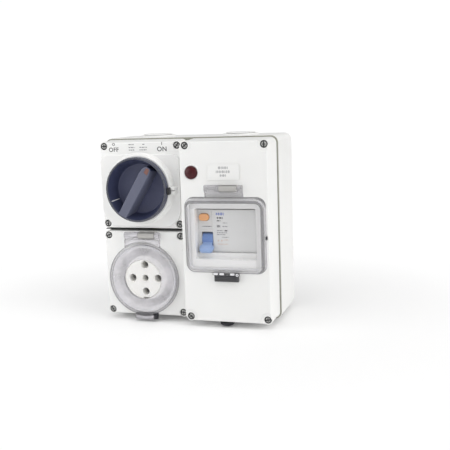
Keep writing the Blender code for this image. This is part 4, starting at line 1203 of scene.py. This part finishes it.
def socket_lid():
    x, up, out = span("socket_lid")
    radius = (x[1] - x[0]) / 2
    back, front = 0.089, out[1]
    skin = front - 0.0026  # inside of the lid's face
    face, side = front - 0.0004, 0.0401
    shell = [(0.001, face), (0.0209, face), (0.0213, front - 0.0001), (0.0216, front)]
    shell += [(0.0219, front - 0.0001), (0.0223, face), (0.0338, face), (0.0344, front)]
    shell += [(0.0372, front), (0.0378, front - 0.0005), (0.0388, front - 0.0007)]
    shell += [(0.0396, front - 0.0013)]
    shell += [(0.0400, front - 0.0023), (side, front - 0.0040), (side, back + 0.0004), (0.0398, back)]
    shell += [(0.0379, back), (0.0376, back + 0.0004), (0.0374, front - 0.0032), (0.0364, skin)]
    shell += [(0.001, skin)]
    middle_x, middle_up = SOCKET
    foot = middle_up - radius  # where the lid's rim is lowest
    tab_x = (middle_x - 0.0105, middle_x + 0.0100)
    tab_out = (skin, front - 0.0002)
    tab = block(tab_x, (up[0], foot + 0.0030), tab_out, corner=0.0012, edge=0.0006, back=0.0003)
    rib_up, rib_out = (up[0] + 0.0006, foot - 0.0004), (front - 0.0008, front)
    ribs = [
        block(about(middle_x + offset, 0.0006), rib_up, rib_out, corner=0.0003, edge=0.0002)
        for offset in (-0.0075, -0.0025, 0.0025, 0.0072)
    ]
    piece(
        "socket_lid",
        turned(SOCKET, shell, 128),
        *lid_hinge_steps(LID_AXIS, middle_up + radius - 0.0080, back, front - 0.0008),
        join(tab),
        cut(disc(SOCKET, (back - THROUGH, skin), 0.0374, sides=128)),
        join(*ribs),
        mat=LID_POLYCARBONATE,
        soften=0.00015,
    )
    hinge_pin("socket_lid_pin")
    hinge_spring("socket_lid_spring", LID_AXIS)
    low, high = span("socket_lid_seal")[2]
    inner, outer = 0.0349, 0.0371
    ring = [(inner, low), (inner, high - 0.0006), (inner + 0.0006, high), (outer - 0.0006, high)]
    ring += [(outer, high - 0.0006), (outer, low)]
    piece("socket_lid_seal", turned(SOCKET, ring, 96, closed=True), soften=0)


def catch(node, front, lip_height, mat):
    """A sliding catch with grip ribs across its lower lip."""
    x, up, out = span(node)
    plate = block(x, up, (out[0], out[0] + 0.0022), corner=0.0008, edge=0.0002)
    lip = block(
        grown(x, -0.00013),
        (up[0] + 0.0001, up[0] + lip_height),
        (out[0] + 0.0003, front),
        corner=0.0009,
        edge=0.0009,
        lean=(0.0003, 0.0003, 0.0006, 0.0006),
    )
    across, depth = grown(x, -0.002), (front - 0.0005, front + THROUGH)
    heights = [up[0] + lip_height * share for share in (0.25, 0.5, 0.75)]
    grooves = [block(across, about(height, 0.0002), depth, corner=0.0001) for height in heights]
    piece(node, plate, join(lip), cut(*grooves), mat=mat, soften=0.0001)


# ---- Residual current device --------------------------------------------------------------------
def rcd_window():
    x, _, out = span("rcd_window")
    up = (-0.0417, 0.0377)
    back, front = out[0], 0.1043
    step, inset, skin, side = 0.0007, 0.0044, 0.0022, 0.0024
    lug_front = front - 0.0012 + 2 * GAP
    lug_out = (lug_front - 0.0005, lug_front)
    shell = block(
        x,
        up,
        (back, front - step),
        corner=0.0095,
        edge=0.0018,
        back=0.0003,
        lean=(0.0006,) * 4,
        steps=14,
    )
    panel_out, hollow_out = (front - 0.002, front), (back - THROUGH, front - skin)
    panel = block(grown(x, -inset), grown(up, -inset), panel_out, corner=0.0056, edge=0.0005, steps=12)
    hollow = block(grown(x, -side), grown(up, -side), hollow_out, corner=0.0068, edge=0.0010, steps=12)
    tab_up, tab_out = (up[0] - 0.0020, up[0] + 0.0016), (0.1020, front - 0.0012)
    piece(
        "rcd_window",
        shell,
        join(panel),
        *lid_hinge_steps(WINDOW_AXIS, up[1] - 0.0022, back, front - 0.0008),
        join(block(about(MODULE_X, 0.0145), tab_up, tab_out, corner=0.0005, edge=0.0003)),
        cut(hollow),
        mat=WINDOW_POLYCARBONATE,
        soften=0.00018,
    )
    nib_x = (x[1] - 0.0010, x[1] + 0.0009)
    nib = block(nib_x, (-0.0060, -0.0024), (0.0984, 0.1012), corner=0.0006, edge=0.0005)
    detail("window_nib", "rcd_window", MATERIALS["black_plastic"], nib, soften=0.0002)
    # Three pale lugs on the window's lower edge: painted highlights that stand for glints there.
    starts = [MODULE_X + offset for offset in (-0.0135, -0.0070, 0.0045)]
    lug_up = (up[0] - 0.0016, up[0] + 0.0006)
    lugs = [block((at, at + 0.0050), lug_up, lug_out, corner=0.0009, edge=0.0003) for at in starts]
    detail("window_lugs", "rcd_window", GLINT_WHITE, mixed(lugs))
    # The eye's dark grey ring and pale bush: painted shade and a painted highlight for the outline and
    # glints of a clear eye.
    eye = (MODULE_X + 0.0122, up[0] - 0.0010)
    rings = (("window_eye", 0.0017, 0.0027, CATCH_GREY_AND_SHADE), ("window_eye_bush", 0.0006, 0.0016, GLINT_WHITE))
    for name, inner, outer, mat in rings:
        ring = [(inner, lug_out[0]), (inner, lug_front), (outer, lug_front), (outer, lug_out[0])]
        detail(name, "rcd_window", mat, turned(eye, ring, 40, closed=True), soften=0.0001)
    hinge_pin("rcd_window_pin")
    hinge_spring("rcd_window_spring", WINDOW_AXIS)

    x, up, out = span("rcd_window_seal")
    width = 0.0022
    seal = block(x, up, out, corner=0.0058, edge=0.0007, steps=10)
    inner = block(grown(x, -width), grown(up, -width), grown(out, THROUGH), corner=0.0036, steps=10)
    piece("rcd_window_seal", seal, cut(inner), soften=0.0003)


def rcd_case():
    x, up, out = span("rcd_case")
    nose_up, shoulder, skin = (-0.022, 0.023), 0.066, 0.0018
    through_nose = (0.080, 0.1)
    body = block(x, up, (out[0], shoulder), corner=0.0012, edge=0.0008, back=0.0004)
    nose = block(grown(x, -0.00015), nose_up, (shoulder - 0.004, out[1]), corner=0.0004, edge=0.0003)
    inner_x = grown(x, -skin)
    hollow = block(inner_x, grown(up, -skin), (out[0] - THROUGH, shoulder - skin))
    nose_hollow = block(inner_x, grown(nose_up, -skin), (out[0] + THROUGH, out[1] - skin))
    pole = (x[1] - x[0]) / 4
    seam_out = (out[1] - 0.0004, 0.1)
    seam = block(about(x[0] + pole, 0.00015), grown(up, THROUGH), seam_out, corner=0.0001)
    lever_x = about(middle("rcd_toggle")[0], 0.0062)
    lever_up = about(axis_of("toggle_throw")[1], 0.0084)
    slot = block(lever_x, lever_up, through_nose, corner=0.0008)
    button_x, button_up, _ = span("rcd_test_button")
    button_limits = (grown(button_x, 0.0004), grown(button_up, 0.0004))
    button_hole = block(*button_limits, through_nose, corner=0.0038, steps=10)
    piece(
        "rcd_case",
        body,
        join(nose),
        cut(hollow),
        cut(nose_hollow),
        cut(seam),
        cut(slot, button_hole),
        soften=0.00018,
    )
    across = [x[0] + pole * (i + 0.5) for i in range(4)]
    terminals = [(a, b) for a in across for b in (up[1] - 0.0085, up[0] + 0.0085)]
    head, top = 0.0030, shoulder + 0.0008
    profile = [(head, shoulder - 0.0002), (head, shoulder + 0.0004), (0.0026, top), (0.0008, top)]
    for number, (a, b) in enumerate(terminals, 1):
        groove = block(about(a, 0.004), about(b, 0.0004), (shoulder + 0.0003, 0.1))
        screw = turned((a, b), profile, 32)
        name = f"terminal_screw_{number}"
        detail(name, "rcd_case", MATERIALS["brass"], screw, cut(groove), soften=0.00008)


def rcd_controls():
    x, up, out = span("rcd_test_button")
    button = block(x, up, out, corner=0.0035, edge=0.0008, steps=12)
    dish = [(0.0014, out[1] - 0.0003), (0.0026, out[1] + 0.0001), (0.0026, 0.1)]
    dish = cut(turned((sum(x) / 2, sum(up) / 2), dish, 40))
    piece("rcd_test_button", button, dish, mat=BUTTON_ORANGE, soften=0.00015)

    pivot, radius = axis_of("toggle_throw"), 0.0074
    lean = Matrix.Translation(pivot) @ Matrix.Rotation(math.radians(38), 4, "X")
    drum = along_x(about(pivot[0], 0.0058), pivot[1:], radius, sides=64)
    stem = block(about(0, 0.0054), about(0, 0.0022), (0.003, 0.014), corner=0.0006)
    paddle = block(
        about(0, 0.0080),
        about(0, 0.0034),
        (0.0108, 0.0191),
        corner=0.0030,
        edge=0.0024,
        back=0.0020,
        lean=(0.0010, 0.0010, 0.0004, 0.0004),
    )
    parts = (join(moved(stem, lean)), join(moved(paddle, lean)))
    toggle = piece("rcd_toggle", drum, *parts, soften=0.0003)
    # Painted light: the paddle's front gets a lighter blue where light catches it, and the rest keeps
    # the darker blue.
    two_tone(toggle, TIP_LIT_BLUE, lambda a, b, depth: depth > pivot[2] + radius + GAP)


def indicator_lamp():
    stem, base = 0.0049, RCD_FACE + GAP
    profile = [(stem, 0.092), (stem, base), (0.0066, base), (0.00685, base + 0.0003)]
    profile += [(0.0068, 0.1001), (0.0062, 0.1008), (0.0050, 0.1014), (0.0034, 0.1019)]
    profile += [(0.0018, 0.10215), (0.0005, 0.1022)]
    piece("lamp_lens", turned(LAMP, profile, 72), soften=0)


def label_plate():
    """A plate with a rim round a sunken field. Returns the middle's x and how far out the field
    is."""
    x, up, out = span("label_plate")
    field = out[1] - 0.00012
    depth = (field, out[1] + THROUGH)
    plate = block(x, up, out, corner=0.0008, edge=0.0002, steps=4)
    sunken = block(grown(x, -0.0008), grown(up, -0.0008), depth, corner=0.0004, steps=4)
    piece("label_plate", plate, cut(sunken), mat=MATERIALS["housing"], soften=0.00006)
    return sum(x) / 2, field


# ---- Printing -----------------------------------------------------------------------------------
INK_DEPTH = 0.00004  # how far ink stands out from, and runs into, what it is printed on
# Generic marks on the switch cover: name, letters, x, height, and the height of a letter.
MARKS = (
    ("mark_off", "OFF", -0.0785, 0.0866, 0.0046),
    ("mark_off_ring", "O", -0.0785, 0.0924, 0.0030),
    ("mark_on", "ON", -0.0228, 0.0866, 0.0050),
    ("mark_on_bar", "I", -0.0228, 0.0924, 0.0034),
)
# Rows of small print: left end, right end, height, the height of a letter, and a seed that varies
# the words' lengths. The label's rows are measured from its middle.
RATING_ROWS = (
    (-0.0610, -0.0545, 0.0920, 0.0010, 1),
    (-0.0610, -0.0535, 0.0889, 0.0010, 2),
    (-0.0610, -0.0545, 0.0862, 0.0010, 3),
    (-0.0450, -0.0425, 0.0920, 0.0010, 5),
    (-0.0485, -0.0395, 0.0889, 0.0010, 6),
    (-0.0485, -0.0400, 0.0862, 0.0010, 7),
)
LABEL_ROWS = (
    (-0.0052, 0.0052, 0.0674, 0.0028, 1),
    (-0.0076, 0.0076, 0.0634, 0.0028, 4),
    (-0.0036, 0.0036, 0.0596, 0.0024, 2),
)
DEVICE_ROWS = {
    "device_title": (BLUE_INK, ((0.0350, 0.0440, 0.0184, 0.0030, 3),)),
    "device_print": (
        INK,
        (
            (0.0358, 0.0425, 0.0142, 0.0018, 2),
            (0.0358, 0.0398, 0.0112, 0.0013, 1),
            (0.0358, 0.0395, 0.0055, 0.0027, 8),
            (0.0440, 0.0475, 0.0008, 0.0016, 5),
            (0.0198, 0.0300, 0.0052, 0.0009, 4),
        ),
    ),
    "device_small_print": (
        FAINT_INK,
        (
            (0.0425, 0.0475, 0.0090, 0.0009, 1),
            (0.0418, 0.0478, 0.0052, 0.0011, 6),
            (0.0358, 0.0425, 0.0008, 0.0011, 2),
            (0.0356, 0.0470, -0.0014, 0.0010, 3),
            (0.0356, 0.0450, -0.0034, 0.0010, 9),
            (0.0410, 0.0480, -0.0062, 0.0009, 4),
        ),
    ),
    "device_diagram": (
        WARM_INK,
        (
            (0.0362, 0.0382, -0.0098, 0.0018, 3),
            (0.0398, 0.0416, -0.0098, 0.0018, 5),
            (0.0432, 0.0480, -0.0090, 0.0009, 7),
            (0.0362, 0.0470, -0.0135, 0.0009, 2),
        ),
    ),
}


def broken_line(left, right, height, thickness, seed):
    """A line of small print as bars of uneven width, with gaps where the words end. Each bar is
    its centre, width and height."""
    bars, at, step = [], left, 0
    while at < right:
        width = 0.0009 + 0.0006 * ((seed * 7 + step * 5) % 4)
        width = min(width, right - at)
        bars.append((at + width / 2, height, width, thickness))
        at += width + 0.0005
        step += 1
    return bars


def small_print(name, node, mat, face, rows):
    """Thin ink bars that stand for rows of small print."""
    out = about(face, INK_DEPTH)
    bars = [bar for row in rows for bar in broken_line(*row)]
    shapes = [
        block(about(x, width / 2), about(up, height / 2), out, corner=height * 0.3, steps=2)
        for x, up, width, height in bars
    ]
    detail(name, node, mat, mixed(shapes))


def lettering(name, words, x, up, height):
    """A mark on the switch cover, in thin raised letters."""
    text = bpy.data.curves.new(name, "FONT")
    text.body = words
    text.size = height / 0.73
    text.align_x = "CENTER"
    text.align_y = "CENTER"
    text.extrude = INK_DEPTH
    text.offset = height * 0.028
    text.space_character = 1.08
    curve = linked(name, text)
    mesh = bpy.data.meshes.new_from_object(evaluated(curve))
    bpy.data.objects.remove(curve)
    bpy.data.curves.remove(text)
    shape = bmesh.new()
    shape.from_mesh(mesh)
    bpy.data.meshes.remove(mesh)
    bmesh.ops.remove_doubles(shape, verts=shape.verts, dist=0.000001)
    bmesh.ops.recalc_face_normals(shape, faces=shape.faces)
    shape.transform(UPRIGHT @ Matrix.Translation((x, up, LOW_FACE)))
    dress(raw_object(name, shape), "switch_cover", INK)


def printing(label_x, label_field):
    for mark in MARKS:
        lettering(*mark)
    small_print("rating_print", "switch_cover", FAINT_INK, LOW_FACE, RATING_ROWS)
    rows = [(label_x + left, label_x + right, *rest) for left, right, *rest in LABEL_ROWS]
    small_print("label_print", "label_plate", LABEL_INK, label_field, rows)
    face = span("rcd_case")[2][1]
    for name, (ink, rows) in DEVICE_ROWS.items():
        small_print(name, "rcd_case", ink, face, rows)


# ---- Solids that stay ---------------------------------------------------------------------------
def finish_kept_solids():
    """The pieces inside the box keep their CAD shape, with softened edges and real materials."""
    for node, obj in frame["nodes"].items():
        if obj.hide_render:
            continue
        obj.data.materials.clear()
        plated = node.startswith("contact_sleeve")
        obj.data.materials.append(PLATED_BRASS if plated else MATERIALS[SLOT_OF[node]])
        weld = obj.modifiers.new("weld", "WELD")
        weld.merge_threshold = 0.000001
        bevel = obj.modifiers.new("soften", "BEVEL")
        bevel.width = 0.0002
        bevel.segments = 2
        bevel.limit_method = "ANGLE"
        bevel.angle_limit = math.radians(50)


# ---- Studio -------------------------------------------------------------------------------------
CAMERA_PLACE = Vector((0.26664, -0.80137, 0.12435))
CAMERA_AZIMUTH = math.radians(17.283)
CAMERA_ELEVATION = math.radians(8.938)
CAMERA_ROLL = math.radians(-1.923)
CAMERA_LENS = 58.07
BACKDROP = 1.02  # brightness of the white behind the object
AMBIENT = 0.47  # brightness of the world that lights the object
LIGHTS_AIM = (0.0, -0.05, 0.0)
# Name, place, size, power and colour.
LIGHTS = (
    ("key", (2.3, -0.75, 1.0), 2.2, 34.0, (1.0, 0.995, 0.985)),
    ("overhead", (0.1, -0.55, 2.2), 2.0, 19.0, (1.0, 1.0, 1.0)),
    ("fill", (-1.6, -1.9, 0.7), 2.0, 2.5, (0.98, 0.99, 1.0)),
    ("near_fill", (-0.55, -0.42, 0.20), 0.5, 1.45, (1.0, 1.0, 1.0)),
)


def camera():
    across, away = math.cos(CAMERA_AZIMUTH), math.cos(CAMERA_ELEVATION)
    back = Vector((math.sin(CAMERA_AZIMUTH) * away, -across * away, math.sin(CAMERA_ELEVATION)))
    level = Vector((across, math.sin(CAMERA_AZIMUTH), 0))
    rise = back.cross(level)
    right = level * math.cos(CAMERA_ROLL) + rise * math.sin(CAMERA_ROLL)
    top = rise * math.cos(CAMERA_ROLL) - level * math.sin(CAMERA_ROLL)
    data = bpy.data.cameras.new("camera")
    data.lens = CAMERA_LENS
    data.sensor_width = 36.0
    data.clip_start = 0.01
    obj = linked("camera", data)
    turn = Matrix((right, top, back)).transposed().to_4x4()
    obj.matrix_world = Matrix.Translation(CAMERA_PLACE) @ turn
    bpy.context.scene.camera = obj


def area_light(name, place, size, power, colour):
    """A round light that is aimed at the object."""
    data = bpy.data.lights.new(name, "AREA")
    data.shape = "DISK"
    data.size = size
    data.energy = power
    data.color = colour
    direction = Vector(LIGHTS_AIM) - Vector(place)
    turn = direction.to_track_quat("-Z", "Y").to_matrix().to_4x4()
    linked(name, data).matrix_world = Matrix.Translation(place) @ turn


def floor_material():
    """A pale sheet that takes a faint shadow near the object and fades into the white behind it."""
    mat, tree = new_material("studio_floor")
    shader = tree.nodes["Principled BSDF"]
    paper = mottled(tree, noise(tree, 6.0), (0.93, 0.93, 0.93), 0.004)
    fill(tree, shader, {"Roughness": 0.7, "Base Color": paper})
    glow = add(tree, "Emission", {"Strength": BACKDROP}).outputs["Emission"]
    distance = vector_step(tree, "LENGTH", add(tree, "TexCoord").outputs["Object"])
    limits = {"Value": distance, "From Min": 0.12, "From Max": 0.42, "To Min": 0.1}
    far = add(tree, "MapRange", limits, interpolation_type="SMOOTHSTEP").outputs["Result"]
    seen = number_step(tree, "MULTIPLY", far, add(tree, "LightPath").outputs["Is Camera Ray"])
    surface = either(tree, seen, shader.outputs["BSDF"], glow)
    fill(tree, tree.nodes["Material Output"], {"Surface": surface})
    return mat


def studio():
    reach = 6.0
    corners = [(-reach, -reach), (reach, -reach), (reach, reach), (-reach, reach)]
    mesh = bpy.data.meshes.new("floor")
    mesh.from_pydata([(x, y, 0.0) for x, y in corners], [], [(0, 1, 2, 3)])
    mesh.materials.append(floor_material())
    floor = linked("floor", mesh)
    floor.location = (0.0, -0.05, CAD_BOX[0][2] - 0.0001)

    world = bpy.data.worlds.new("studio")
    world.use_nodes = True
    tree = world.node_tree
    seen = add(tree, "LightPath").outputs["Is Camera Ray"]
    limits = {"Value": seen, "To Min": AMBIENT, "To Max": BACKDROP}
    strength = add(tree, "MapRange", limits).outputs["Result"]
    fill(tree, tree.nodes["Background"], {"Color": (1.0, 1.0, 1.0, 1.0), "Strength": strength})
    bpy.context.scene.world = world
    for light in LIGHTS:
        area_light(*light)
    bpy.context.scene.view_settings.view_transform = "Standard"


back_box()
box_gasket()
conduit_plugs()
drain_plug()
cover_screws()
switch_cover()
socket_cover()
rcd_cover()
switch_dial()
lock_slide()
socket_insert()
socket_lid()
catch("socket_latch", 0.0919, 0.0045, MATERIALS["black_plastic"])
rcd_window()
catch("rcd_latch", 0.1034, 0.0064, CATCH_GREY_AND_SHADE)
rcd_case()
rcd_controls()
indicator_lamp()
printing(*label_plate())
finish_kept_solids()
camera()
studio()
